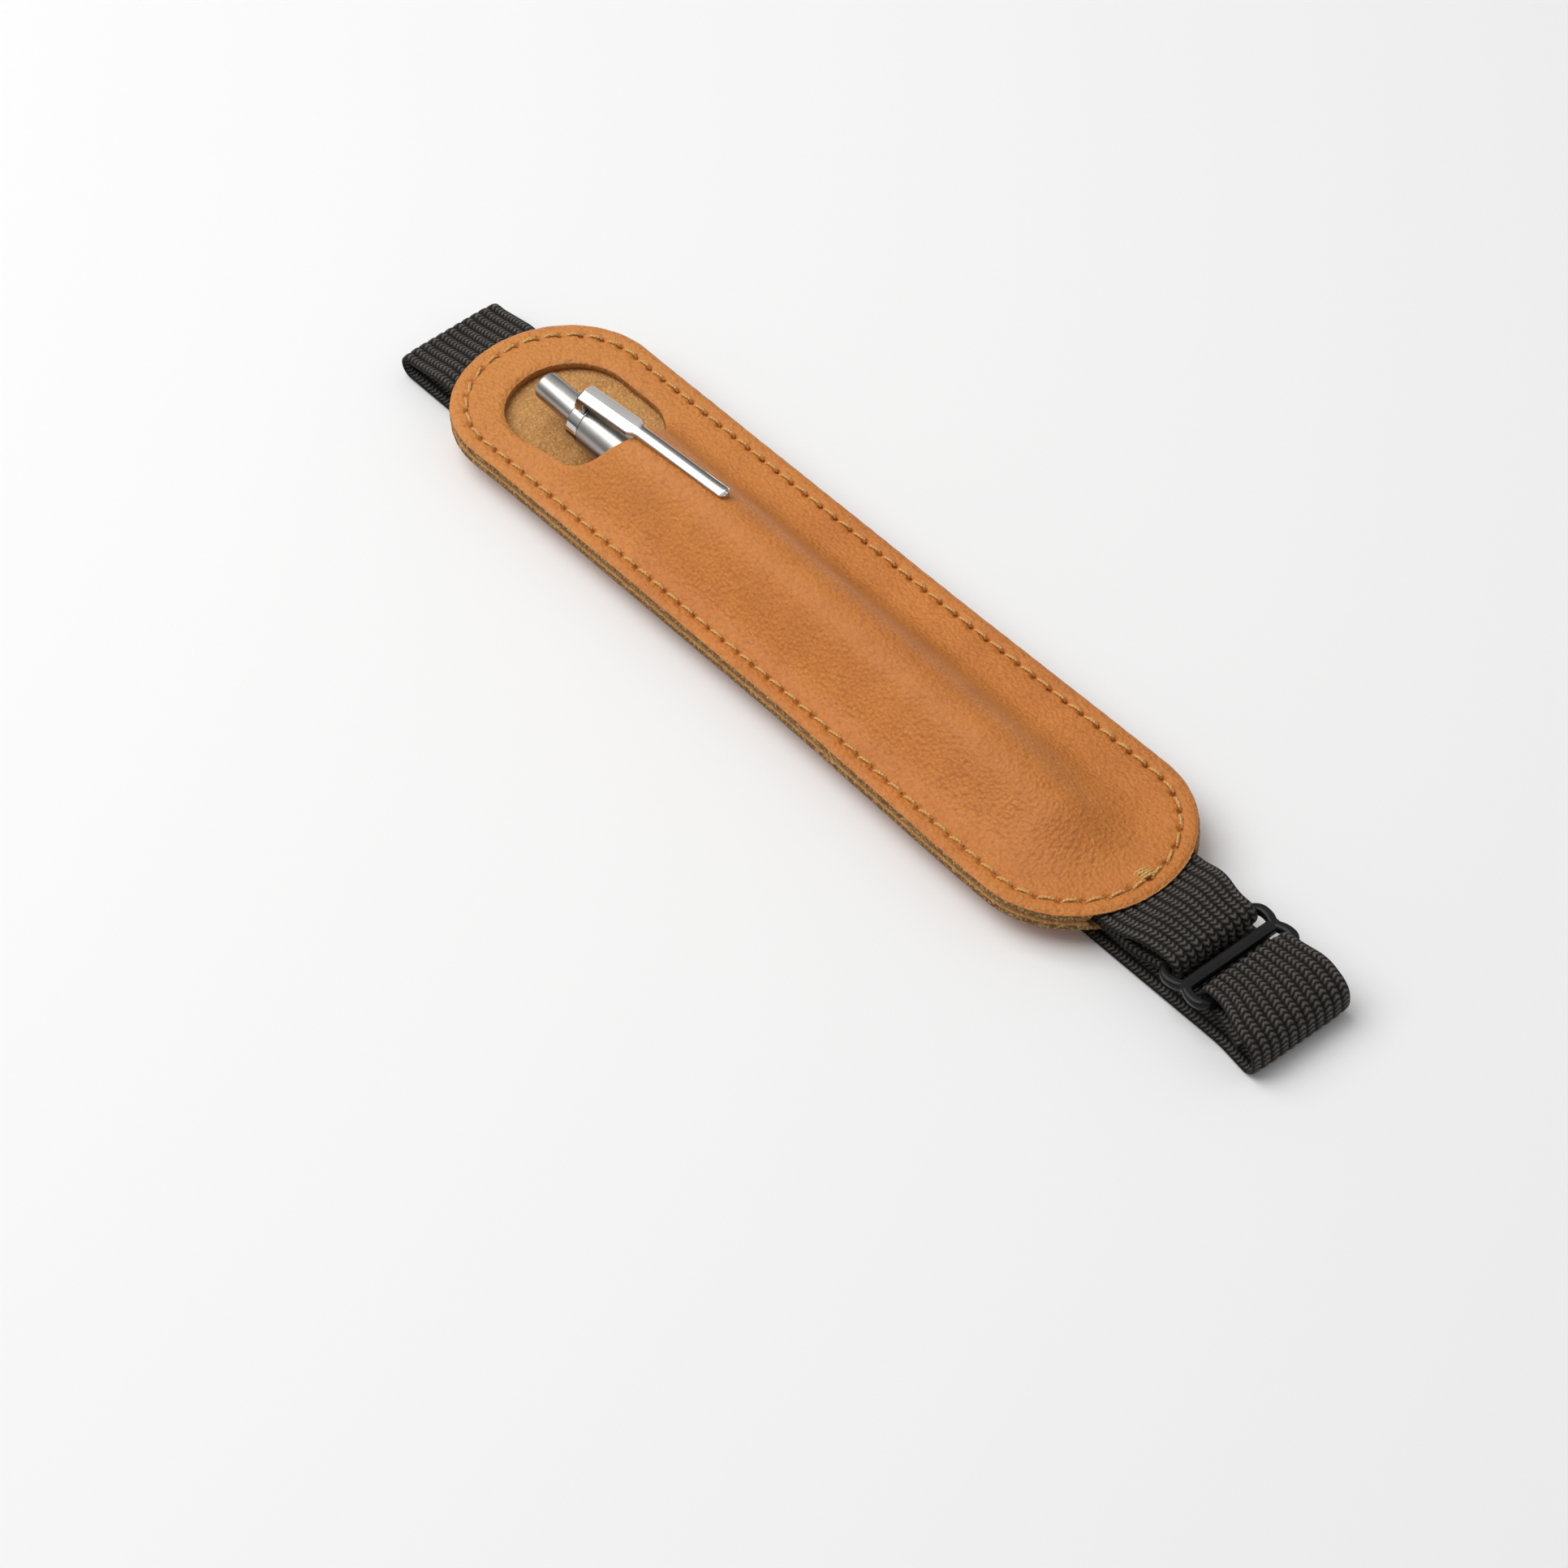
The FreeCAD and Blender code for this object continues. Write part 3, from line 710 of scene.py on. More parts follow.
@dataclass(frozen=True)
class RoundedStrip:
    """Plan of a strip with round ends; the way round it is counted at one radius."""

    first: float
    last: float
    gauge: float

    @property
    def run(self) -> float:
        """Length of a straight side."""
        return self.last - self.first

    @property
    def length(self) -> float:
        """Way all round."""
        return 2 * self.run + 2 * math.pi * self.gauge

    def nearest(self, x: float) -> float:
        """Nearest place on the middle line."""
        return min(max(x, self.first), self.last)

    def reach(self, x: float, y: float) -> float:
        """Distance of a plan point from the middle line."""
        return math.hypot(x - self.nearest(x), y)

    def at(self, way: float, radius: float) -> Point2:
        """Plan point at a way round the strip and a distance from its middle line.

        Args:
            way: Way round from the start of the near side.
            radius: Distance from the middle line.

        Returns:
            The point.
        """
        arc = math.pi * self.gauge
        if way < self.run:
            return (self.first + way, -radius)
        way -= self.run
        if way < arc:
            angle = way / self.gauge - math.pi / 2
            return (self.last + radius * math.cos(angle), radius * math.sin(angle))
        way -= arc
        if way < self.run:
            return (self.last - way, radius)
        angle = (way - self.run) / self.gauge + math.pi / 2
        return (self.first + radius * math.cos(angle), radius * math.sin(angle))

    def way(self, x: float, y: float) -> float:
        """Way round the strip of a plan point.

        Args:
            x: Place along the case, in millimetres.
            y: Place across the case, in millimetres.

        Returns:
            The way from the start of the near side.
        """
        arc = math.pi * self.gauge
        if x > self.last:
            return self.run + (math.atan2(y, x - self.last) + math.pi / 2) * self.gauge
        if x < self.first:
            angle = math.atan2(y, x - self.first) % (2 * math.pi)
            return 2 * self.run + arc + (angle - math.pi / 2) * self.gauge
        return x - self.first if y < 0 else self.run + arc + self.last - x


@dataclass
class LeatherCase:
    """Two sewn leather panels with the window, formed over the pen.

    Ranges are pairs of a start and an end. The swells of the hide have a height, two scales
    and a layer each.
    """

    pen: PenLine
    head_end: float = -95.2
    foot_end: float = 73.8
    half_width: float = 19.0
    leather: float = 2.1
    board_top: float = 3.7
    seam_plane: float = 5.8
    front_top: float = 7.9
    panel_gap: float = 0.02
    window_start: float = -85.1
    window_length: float = 33.8
    window_half: float = 11.3
    rise_end: float = -56.3
    fade_end: float = 68.0
    flange_margin: float = 1.4
    fillet_run: float = 2.3
    far_reach: float = 12.0
    drape_clear: float = 0.5
    near_pull: float = 1.1
    far_pull: float = 0.5
    waist_rise: Point2 = (-98.0, -68.0)
    waist_fall: Point2 = (-5.0, 55.0)
    mouth_pull: float = 3.0
    mouth_rise: Point2 = (-76.0, -57.0)
    mouth_fall: Point2 = (-51.0, -24.0)
    mouth_near: Point2 = (-1.0, 8.0)
    mouth_far: Point2 = (11.5, 15.5)
    strap_half: float = 10.3
    strap_aside: float = -1.2
    single_room: float = 0.62
    double_room: float = 1.27
    seat_reach: float = 8.4
    seat_ease: float = 1.0
    seat_ease_aside: float = 0.8
    seam_inset: float = 2.8
    stitch_pitch: float = 3.8
    seam_lift: float = 0.10
    groove_depth: float = 0.16
    groove_width: float = 0.55
    hole_depth: float = 1.1
    hole_across: float = 0.45
    hole_along: float = 0.48
    pucker_height: float = 0.05
    pucker_inset: float = 0.8
    pucker_width: float = 1.4
    back_sewn: float = 0.6
    back_uneven: float = 0.5
    swells: tuple[Numbers, ...] = ((0.10, 0.07, 0.09, 1.7), (0.04, 0.3, 0.3, 5.1))
    rim_round: float = 0.55
    rim_band: Point2 = (-0.35, 1.0)
    fray: float = 0.10
    fray_scale: float = 1.7
    fray_layer: float = 9.0
    edge_swell: float = 0.12
    edge_shares: Numbers = (0.25, 0.5, 0.75)
    insets: Numbers = (0.0, 0.14, 0.35, 0.7, 1.2, 1.8, 2.25, 2.55, 2.8, 3.05, 3.35, 3.9)
    gaps: Numbers = (0.0, 0.14, 0.35, 0.7, 1.2)
    per_stitch: int = 8
    window_points: int = 200
    grid: float = 0.9
    grid_inset: float = 4.4
    grid_gap: float = 1.7
    cut_slack: float = 0.01
    rim_slack: float = 0.05
    flat_crest: float = 0.01

    def __post_init__(self) -> None:
        """Work out the outline, the window and the stitches of the seam."""
        self.seam_radius = self.half_width - self.seam_inset
        first, last = self.head_end + self.half_width, self.foot_end - self.half_width
        self.outline = RoundedStrip(first, last, self.seam_radius)
        first = self.window_start + self.window_half
        last = self.window_start + self.window_length - self.window_half
        self.window = RoundedStrip(first, last, self.window_half)
        self.stitches = round(self.outline.length / self.stitch_pitch)
        self.crown = self.pen.radius + self.drape_clear

    def inset(self, x: float, y: float) -> float:
        """Distance inside the outline."""
        return self.half_width - self.outline.reach(x, y)

    def window_gap(self, x: float, y: float) -> float:
        """Distance outside the window's rim; negative inside it."""
        return self.window.reach(x, y) - self.window_half

    def at_window(self, x: float, y: float) -> bool:
        """Whether a plan point is on the window's rim."""
        return abs(self.window_gap(x, y)) < self.rim_slack

    def waist(self, x: float, y: float) -> float:
        """Sideways place after the sewn sides are drawn in along the pen."""
        amount = self.near_pull if y < 0 else self.far_pull
        return y * (1 - hump(self.waist_rise, self.waist_fall, x) * amount / self.half_width)

    def mouth(self, x: float, y: float) -> float:
        """Lengthwise place after the far corner of the window's mouth is drawn to the head."""
        along = hump(self.mouth_rise, self.mouth_fall, x)
        return x - self.mouth_pull * along * hump(self.mouth_near, self.mouth_far, y)

    def over_pen(self, x: float) -> float:
        """Height above the seam of leather over the pen.

        Args:
            x: Place along the case, in millimetres.

        Returns:
            The height, clear of the pen.
        """
        station = (x - self.pen.start[0]) / self.pen.cos
        axis = self.pen.start[2] - station * self.pen.sin - self.seam_plane
        return axis + self.pen.outline(station) + self.drape_clear

    def crest(self, x: float) -> float:
        """Height of the inner crest above the seam.

        Args:
            x: Place along the case, in millimetres.

        Returns:
            The height, 0 where the front lies flat.
        """
        tip = self.pen.start[0] + self.pen.length * self.pen.cos
        if x <= self.window_start or x >= self.fade_end:
            return 0.0
        if x < self.rise_end:
            share = (x - self.window_start) / (self.rise_end - self.window_start)
            return self.over_pen(self.rise_end) * (1 - math.cos(math.pi * share)) / 2
        if x <= tip:
            return self.over_pen(x)
        share = (x - tip) / (self.fade_end - tip)
        return self.over_pen(tip) * (1 + math.cos(math.pi * share)) / 2

    def drape(self, x: float, y: float, offset: float) -> float:
        """Height of the formed front above the seam plane, at an offset outwards.

        Args:
            x: Place along the case, in millimetres.
            y: Place across the case, in millimetres.
            offset: Thickness of leather between the inner side and the face.

        Returns:
            The height.
        """
        crest = self.crest(x)
        if crest <= self.flat_crest:
            return offset
        into_end = max(x - self.outline.last, 0.0)
        aside = self.pen.start[1]
        reach = abs(y - aside)
        centre = crest - self.crown
        radius = self.crown + offset
        foot = math.sqrt(self.seam_radius**2 - into_end**2) - self.flange_margin + aside
        if y > aside:
            foot = min(foot, self.far_reach)
        foot -= self.fillet_run
        lean = math.asin(min(self.crown / math.hypot(foot, centre), 1.0))
        slope = math.atan2(centre, foot) + lean
        rise = math.tan(slope)
        foot += offset * math.tan(slope / 2)
        if reach <= radius * math.sin(slope):
            return centre + math.sqrt(radius**2 - reach**2)
        if reach <= foot - self.fillet_run:
            return offset + (foot - reach) * rise
        if reach < foot + self.fillet_run:
            left = foot + self.fillet_run - reach
            return offset + left**2 * rise / (4 * self.fillet_run)
        return offset

    def sewn(self, x: float, y: float) -> float:
        """How far the seam pulls a face in: groove, needle holes and small puckers.

        Args:
            x: Place along the case, in millimetres.
            y: Place across the case, in millimetres.

        Returns:
            The depth.
        """
        inset = self.inset(x, y)
        beat = self.outline.way(x, y) / self.outline.length * self.stitches
        to_hole = abs(beat - math.floor(beat) - 0.5) * self.stitch_pitch
        to_seam = inset - self.seam_inset
        groove = self.groove_depth * bell(to_seam, self.groove_width)
        hole = self.hole_depth * bell(to_seam, self.hole_across) * bell(to_hole, self.hole_along)
        pucker = bell(inset - self.pucker_inset, self.pucker_width) * math.cos(2 * math.pi * beat)
        return groove + hole - self.pucker_height * pucker

    def uneven(self, x: float, y: float) -> float:
        """Slow unevenness of the hide.

        Args:
            x: Place along the case, in millimetres.
            y: Place across the case, in millimetres.

        Returns:
            The height.
        """
        return sum(
            height * noise.noise((x * along, y * across, layer))
            for height, along, across, layer in self.swells
        )

    def seat_share(self, into: float, aside: float) -> float:
        """Share of a strap end's room, by the way in from the end and aside from the strap."""
        along = 1 - smooth(0.0, self.seat_ease, into - self.seat_reach)
        return along * (1 - smooth(0.0, self.seat_ease_aside, abs(aside) - self.strap_half))

    def seat(self, x: float, y: float) -> float:
        """Room that the strap ends take between the panels.

        Args:
            x: Place along the case, in millimetres.
            y: Place across the case, in millimetres.

        Returns:
            The height that each panel gives way.
        """
        head = self.seat_share(x - self.head_end, y - self.strap_aside)
        foot = self.seat_share(self.foot_end - x, y)
        return max(self.single_room * head, self.double_room * foot)

    def plan(self, windowed: bool) -> tuple[list[Point2], list[tuple[int, int]]]:
        """Plan points of a panel with its rim edges.

        Args:
            windowed: Whether the window is cut.

        Returns:
            The points and the rim edges.
        """
        points: list[Point2] = []
        edges: list[tuple[int, int]] = []
        radii = [self.half_width - inset for inset in self.insets]
        rows = [(self.outline, self.stitches * self.per_stitch, 0.5, radii)]
        if windowed:
            radii = [self.window_half + gap for gap in self.gaps]
            rows.append((self.window, self.window_points, 0.0, radii))
        for strip, count, shift, radii in rows:
            base = len(points)
            edges += [(base + index, base + (index + 1) % count) for index in range(count)]
            ways = [(index + shift) / count * strip.length for index in range(count)]
            points += [strip.at(way, radius) for radius in radii for way in ways]
        for row in range(int(2 * self.half_width / self.grid) + 1):
            for column in range(int((self.foot_end - self.head_end) / self.grid) + 1):
                x = self.head_end + column * self.grid + (self.grid / 2 if row % 2 else 0.0)
                y = -self.half_width + row * self.grid
                clear = not windowed or self.window_gap(x, y) > self.grid_gap
                if clear and self.inset(x, y) > self.grid_inset:
                    points.append((x, y))
        return points, edges

    def flat_mesh(self, windowed: bool) -> tuple[list[Point2], list[Face]]:
        """Corners and triangles of a panel in plan, with the window left open.

        Args:
            windowed: Whether the window is cut.

        Returns:
            The corners and the triangles.
        """
        points, edges = self.plan(windowed)
        found = delaunay_2d_cdt([Vector(point) for point in points], edges, [], 0, 1e-6)
        spots = [(vert.x, vert.y) for vert in found[0]]
        triangles = []
        for triangle in found[2]:
            x, y = (sum(spots[corner][axis] for corner in triangle) / 3 for axis in (0, 1))
            if not windowed or self.window_gap(x, y) > -self.cut_slack:
                triangles.append(tuple(triangle))
        return spots, triangles

    def formed(self, spot: Point2, height: float, sign: float, windowed: bool) -> Point3:
        """Corner of a face with its rim rounded and its plan drawn in.

        Args:
            spot: Plan point.
            height: Height of the face there.
            sign: 1 for an upper face, -1 for a lower one.
            windowed: Whether the window is cut.

        Returns:
            The corner.
        """
        x, y = spot
        gap = self.inset(x, y)
        if windowed:
            gap = min(gap, self.window_gap(x, y))
        soften = self.rim_round * (1 - smooth(*self.rim_band, gap))
        shown = self.mouth(x, y) if windowed else x
        return (shown, self.waist(x, y), height - sign * soften)

    def outward(self, x: float, y: float, windowed: bool) -> Point2:
        """Plan direction that leads out of the leather at its rim.

        Args:
            x: Place along the case, in millimetres.
            y: Place across the case, in millimetres.
            windowed: Whether the window is cut.

        Returns:
            The direction.
        """
        if windowed and self.at_window(x, y):
            across = Vector((self.window.nearest(x) - x, -y))
        else:
            across = Vector((x - self.outline.nearest(x), y))
        across.normalize()
        return (across.x, across.y)

    def panel(
        self,
        name: str,
        windowed: bool,
        upper: Callable[[float, float], float],
        lower: Callable[[float, float], float],
        materials: Sequence[Material],
    ) -> Piece:
        """Make one panel between an upper and a lower face, with rounded cut edges.

        Args:
            name: Name of the piece.
            windowed: Whether the window is cut.
            upper: Height of the upper face over a plan point.
            lower: Height of the lower face over a plan point.
            materials: Finishes in the order of Skin.

        Returns:
            The panel.
        """
        spots, triangles = self.flat_mesh(windowed)
        count = len(spots)
        points = [self.formed(spot, upper(*spot), 1.0, windowed) for spot in spots]
        points += [self.formed(spot, lower(*spot), -1.0, windowed) for spot in spots]
        faces = triangles + [tuple(corner + count for corner in face[::-1]) for face in triangles]
        kinds = [Skin.UPPER] * len(triangles) + [Skin.LOWER] * len(triangles)
        sides = dict.fromkeys(side for a, b, c in triangles for side in ((a, b), (b, c), (c, a)))
        border = [(a, b) for a, b in sides if (b, a) not in sides]
        walls: dict[int, list[int]] = {}
        for corner, _ in border:
            (x, y, top), bottom = points[corner], points[corner + count][2]
            out = self.outward(*spots[corner], windowed)
            walls[corner] = [corner]
            for share in self.edge_shares:
                rough = (x * self.fray_scale, y * self.fray_scale, share * self.fray_layer)
                swell = self.edge_swell * math.sin(math.pi * share)
                reach = self.fray * noise.noise(rough) + swell
                walls[corner].append(len(points))
                height = top + (bottom - top) * share
                points.append((x + out[0] * reach, y + out[1] * reach, height))
            walls[corner].append(corner + count)
        for a, b in border:
            rim = windowed and self.at_window(*spots[a])
            left, right = walls[a], walls[b]
            for step in range(len(left) - 1):
                faces.append((left[step], left[step + 1], right[step + 1], right[step]))
                kinds.append(Skin.WINDOW if rim else Skin.EDGE)
        return make_piece(name, points, faces, materials, kinds, flat_angle=75.0)

    def front_upper(self, x: float, y: float) -> float:
        """Grain side of the front."""
        formed = self.seam_plane + self.drape(x, y, self.leather)
        return formed + self.uneven(x, y) - self.sewn(x, y)

    def front_lower(self, x: float, y: float) -> float:
        """Flesh side of the front."""
        return self.seam_plane + max(self.drape(x, y, 0.0), self.seat(x, y)) + self.panel_gap

    def back_upper(self, x: float, y: float) -> float:
        """Flesh side of the back, uneven where the window shows it.

        Args:
            x: Place along the case, in millimetres.
            y: Place across the case, in millimetres.

        Returns:
            The height.
        """
        flat = self.seam_plane - self.seat(x, y) - self.panel_gap
        shown = self.window_gap(x, y) < 0
        return flat + (self.back_uneven * self.uneven(x, y) if shown else 0.0)

    def back_lower(self, x: float, y: float) -> float:
        """Grain side of the back."""
        return self.board_top + self.back_sewn * self.sewn(x, y)

    def build(self, groups: Groups) -> None:
        """Build and place both panels.

        Args:
            groups: Shader groups that finishes share.
        """
        grain, edge = HIDE.make(groups), CUT_EDGE.make(groups)
        suede, rim = SUEDE.make(groups), WINDOW_RIM.make(groups)
        skins = [grain, edge, suede, rim]
        front = self.panel("leather_front", True, self.front_upper, self.front_lower, skins)
        place(front, Body.CASE, ["front_panel"])
        skins = [suede, edge, grain]
        back = self.panel("leather_back", False, self.back_upper, self.back_lower, skins)
        place(back, Body.CASE, ["back_panel"])

    def seam_path(self, side: Side) -> list[Point3]:
        """Line of the seam on one face, with the waist.

        Args:
            side: Face that the seam shows on.

        Returns:
            The closed line, in millimetres.
        """
        height = self.front_top if side is Side.FRONT else self.board_top
        count = self.stitches * 4
        path = []
        for index in range(count):
            x, y = self.outline.at(index / count * self.outline.length, self.seam_radius)
            lift = self.uneven(x, y) if side is Side.FRONT else 0.0
            path.append((x, self.waist(x, y), height + lift + self.seam_lift * side.value))
        return path


@dataclass(frozen=True)
class GrowthTree:
    """Geometry tree that grows a piece along a line, with its input identifiers."""

    tree: bpy.types.NodeTree
    names: dict[str, str]

    def grow(
        self,
        name: str,
        path: Sequence[Point3],
        sizes: dict[str, float],
        closed: bool = False,
        shares: Sequence[float] = (),
        flat_angle: float = 180.0,
    ) -> Piece:
        """Run the tree on a line and turn the result into a plain mesh.

        Args:
            name: Name of the piece.
            path: Line in millimetres.
            sizes: Values of the tree's inputs.
            closed: Whether the line closes on itself.
            shares: Radius of the line at each point, if it varies.
            flat_angle: Edges sharper than this stay crisp, in degrees.

        Returns:
            The piece, linked to the scene.
        """
        curve = bpy.data.curves.new(name + "_line", "CURVE")
        curve.dimensions = "3D"
        spline = curve.splines.new("POLY")
        spline.points.add(len(path) - 1)
        for index, (x, y, z) in enumerate(path):
            spline.points[index].co = (x * MM, y * MM, z * MM, 1.0)
            spline.points[index].radius = shares[index] if shares else 1.0
        spline.use_cyclic_u = closed
        guide = show(name + "_line", curve)
        modifier = guide.modifiers.new("growth", "NODES")
        modifier.node_group = self.tree
        for key, value in sizes.items():
            modifier[self.names[key]] = value
        bpy.context.view_layer.update()
        graph = bpy.context.evaluated_depsgraph_get()
        mesh = bpy.data.meshes.new_from_object(guide.evaluated_get(graph))
        bpy.data.objects.remove(guide)
        mesh.set_sharp_from_angle(angle=math.radians(flat_angle))
        return show(name, mesh)


def start_tree(
    name: str, inputs: dict[str, str]
) -> tuple[NodeBench, Sequence[Socket], GrowthTree]:
    """Start a geometry tree with named inputs.

    Args:
        name: Name of the tree.
        inputs: Names of the inputs with their kinds.

    Returns:
        A bench for its nodes, the sockets of its inputs, and the tree.
    """
    tree = bpy.data.node_groups.new(name, "GeometryNodeTree")
    sockets = tree.interface
    sockets.new_socket("Geometry", in_out="INPUT", socket_type="NodeSocketGeometry")
    names = {}
    for key, kind in inputs.items():
        made = sockets.new_socket(key, in_out="INPUT", socket_type="NodeSocket" + kind)
        names[key] = made.identifier
    sockets.new_socket("Geometry", in_out="OUTPUT", socket_type="NodeSocketGeometry")
    bench = NodeBench(tree)
    return bench, bench.add("NodeGroupInput").outputs, GrowthTree(tree, names)


def end_tree(
    bench: NodeBench, shape: Socket, material: Material, lay: Optional[Socket] = None
) -> None:
    """Close a geometry tree: plain mesh, lay, smooth faces and finish.

    Args:
        bench: Bench of the tree.
        shape: Geometry socket.
        material: Finish of the piece.
        lay: Place on the surface, if the finish follows it.
    """
    shape = bench.flow("GeometryNodeRealizeInstances", {0: shape})
    if lay is not None:
        links = {"Geometry": shape, "Name": "lay"}
        kind = {"data_type": "FLOAT2", "domain": "CORNER"}
        store = bench.add("GeometryNodeStoreNamedAttribute", links, **kind)
        value = next(socket for socket in store.inputs if socket.name == "Value" and socket.enabled)
        bench.tree.links.new(lay, value)
        shape = store.outputs[0]
    shape = bench.flow("GeometryNodeSetShadeSmooth", {0: shape})
    shape = bench.flow("GeometryNodeSetMaterial", {"Geometry": shape, "Material": material})
    bench.add("NodeGroupOutput", {0: shape})


@dataclass
class SeamStitches:
    """Rows of slanted thread along the seam and the tack at the foot end.

    The tack's ends are given from the foot of the seam.
    """

    case: LeatherCase
    thread: float = 0.54
    length: float = 2.85
    sink: float = 0.70
    slant: float = 8.0
    stray: float = 0.07
    seed: int = 4
    points: int = 7
    tack_threads: int = 4
    tack_length: float = 2.9
    tack_sink: float = 0.5
    tack_slant: float = 68.0
    tack_lift: float = 0.12
    tack_ends: Route = ((-1.9, 0.6), (-0.3, 1.0))

    def tree(self, material: Material) -> GrowthTree:
        """Geometry tree that lays one arched thread at each beat of a line.

        Args:
            material: Finish of the thread.

        Returns:
            The tree.
        """
        kinds = {"Count": "Int", "Length": "Float", "Thread": "Float", "Sink": "Float"}
        kinds |= {"Slant": "Float", "Seed": "Int"}
        bench, taken, growth = start_tree("seam_row", kinds)
        calc = bench.math
        ahead = bench.join(calc("MULTIPLY", taken["Length"], 0.5))
        behind = bench.join(calc("MULTIPLY", taken["Length"], -0.5))
        line = bench.flow("GeometryNodeCurvePrimitiveLine", {"Start": behind, "End": ahead})
        line = bench.flow("GeometryNodeResampleCurve", {"Curve": line, "Count": self.points})
        share = bench.add("GeometryNodeSplineParameter").outputs["Factor"]
        far = calc("POWER", calc("MULTIPLY_ADD", share, 2.0, -1.0), 4.0)
        dip = calc("MULTIPLY", calc("MULTIPLY", far, taken["Sink"]), -1.0)
        line = bench.move(line, Offset=bench.join(z=dip))
        section = {"Resolution": self.points, "Radius": taken["Thread"]}
        strand = bench.sweep(line, bench.flow("GeometryNodeCurvePrimitiveCircle", section))
        beats = {"Curve": taken["Geometry"], "Count": taken["Count"]}
        spots = bench.add("GeometryNodeCurveToPoints", beats).outputs
        along = {"Vector": spots["Tangent"]}
        aim = bench.flow("FunctionNodeAlignRotationToVector", along, axis="X", pivot_axis="Z")
        limits = {2: -self.stray, 3: self.stray, "Seed": taken["Seed"]}
        stray = bench.add("FunctionNodeRandomValue", limits, data_type="FLOAT").outputs[1]
        lean = bench.join(z=calc("ADD", taken["Slant"], stray))
        turn = {0: aim, 1: bench.flow("FunctionNodeEulerToRotation", {0: lean})}
        aim = bench.flow("FunctionNodeRotateRotation", turn, rotation_space="LOCAL")
        laid = {"Points": spots[0], "Instance": strand, "Rotation": aim}
        row = bench.flow("GeometryNodeInstanceOnPoints", laid)
        x, y, z = bench.spot()
        lay = bench.join(calc("ADD", x, y), calc("MULTIPLY_ADD", z, 2.0, y))
        end_tree(bench, row, material, lay)
        return growth

    def sizes(self, count: int, length: float, sink: float, slant: float) -> dict[str, float]:
        """Values of the tree's inputs for one row, in metres and radians.

        Args:
            count: Number of threads.
            length: Length of a thread.
            sink: How far its ends sink in.
            slant: Slant to the line, in degrees.

        Returns:
            The values by name.
        """
        return {
            "Count": count,
            "Length": length * MM,
            "Thread": self.thread / 2 * MM,
            "Sink": sink * MM,
            "Slant": math.radians(slant),
            "Seed": self.seed,
        }

    def build(self, material: Material) -> None:
        """Lay the front row, the back row and the tack.

        Args:
            material: Finish of the thread.
        """
        growth = self.tree(material)
        for name, node, side in (
            ("seam_front", "front_stitches", Side.FRONT),
            ("seam_back", "back_stitches", Side.BACK),
        ):
            sink = self.sink * side.value
            sizes = self.sizes(self.case.stitches, self.length, sink, self.slant)
            row = growth.grow(name, self.case.seam_path(side), sizes, closed=True)
            place(row, Body.CASE, [node])
        foot = self.case.foot_end - self.case.seam_inset
        height = self.case.front_top + self.tack_lift
        path = [(foot + along, aside, height) for along, aside in self.tack_ends]
        sizes = self.sizes(self.tack_threads, self.tack_length, self.tack_sink, self.tack_slant)
        place(growth.grow("seam_tack", path, sizes), Body.CASE, [])


def rounded_route(
    corners: Sequence[Point2],
    bends: Sequence[float],
    step: float,
    long_run: float = 60.0,
    long_step: float = 1.2,
    shared_room: float = 0.4999,
    end_room: float = 0.9,
) -> list[Point2]:
    """Side line of a band with its corners bent round.

    Args:
        corners: Corners of the line, as X and Z.
        bends: Radius at each inner corner.
        step: Usual distance between points.
        long_run: Straight runs longer than this take the long step.
        long_step: Distance between points on a long run.
        shared_room: Share of a run that a bend may take between two bends.
        end_room: Share of a run that the first and last bends may take.

    Returns:
        Points along the line.
    """
    line = [Vector(corners[0])]
    for index, bend in enumerate(bends, start=1):
        here = Vector(corners[index])
        back = Vector(corners[index - 1]) - here
        on = Vector(corners[index + 1]) - here
        turn = math.pi - back.angle(on)
        room = shared_room if 1 < index < len(bends) else end_room
        cut = min(bend * math.tan(turn / 2), room * min(back.length, on.length))
        radius = cut / math.tan(turn / 2)
        start = here + back.normalized() * cut
        inwards = (back.normalized() + on.normalized()).normalized()
        middle = here + inwards * math.hypot(cut, radius)
        pieces = max(3, math.ceil(radius * turn / step))
        first = start - middle
        way = 1.0 if back.cross(on) < 0 else -1.0
        for part in range(pieces + 1):
            angle = way * turn * part / pieces
            c, s = math.cos(angle), math.sin(angle)
            line.append(middle + Vector((first.x * c - first.y * s, first.x * s + first.y * c)))
    line.append(Vector(corners[-1]))
    route: list[Point2] = []
    for a, b in zip(line, line[1:]):
        length = (b - a).length
        pieces = max(1, math.ceil(length / (step if length < long_run else long_step)))
        if length > 1e-6:
            route += [tuple(a.lerp(b, part / pieces)) for part in range(pieces)]
    return route + [tuple(line[-1])]


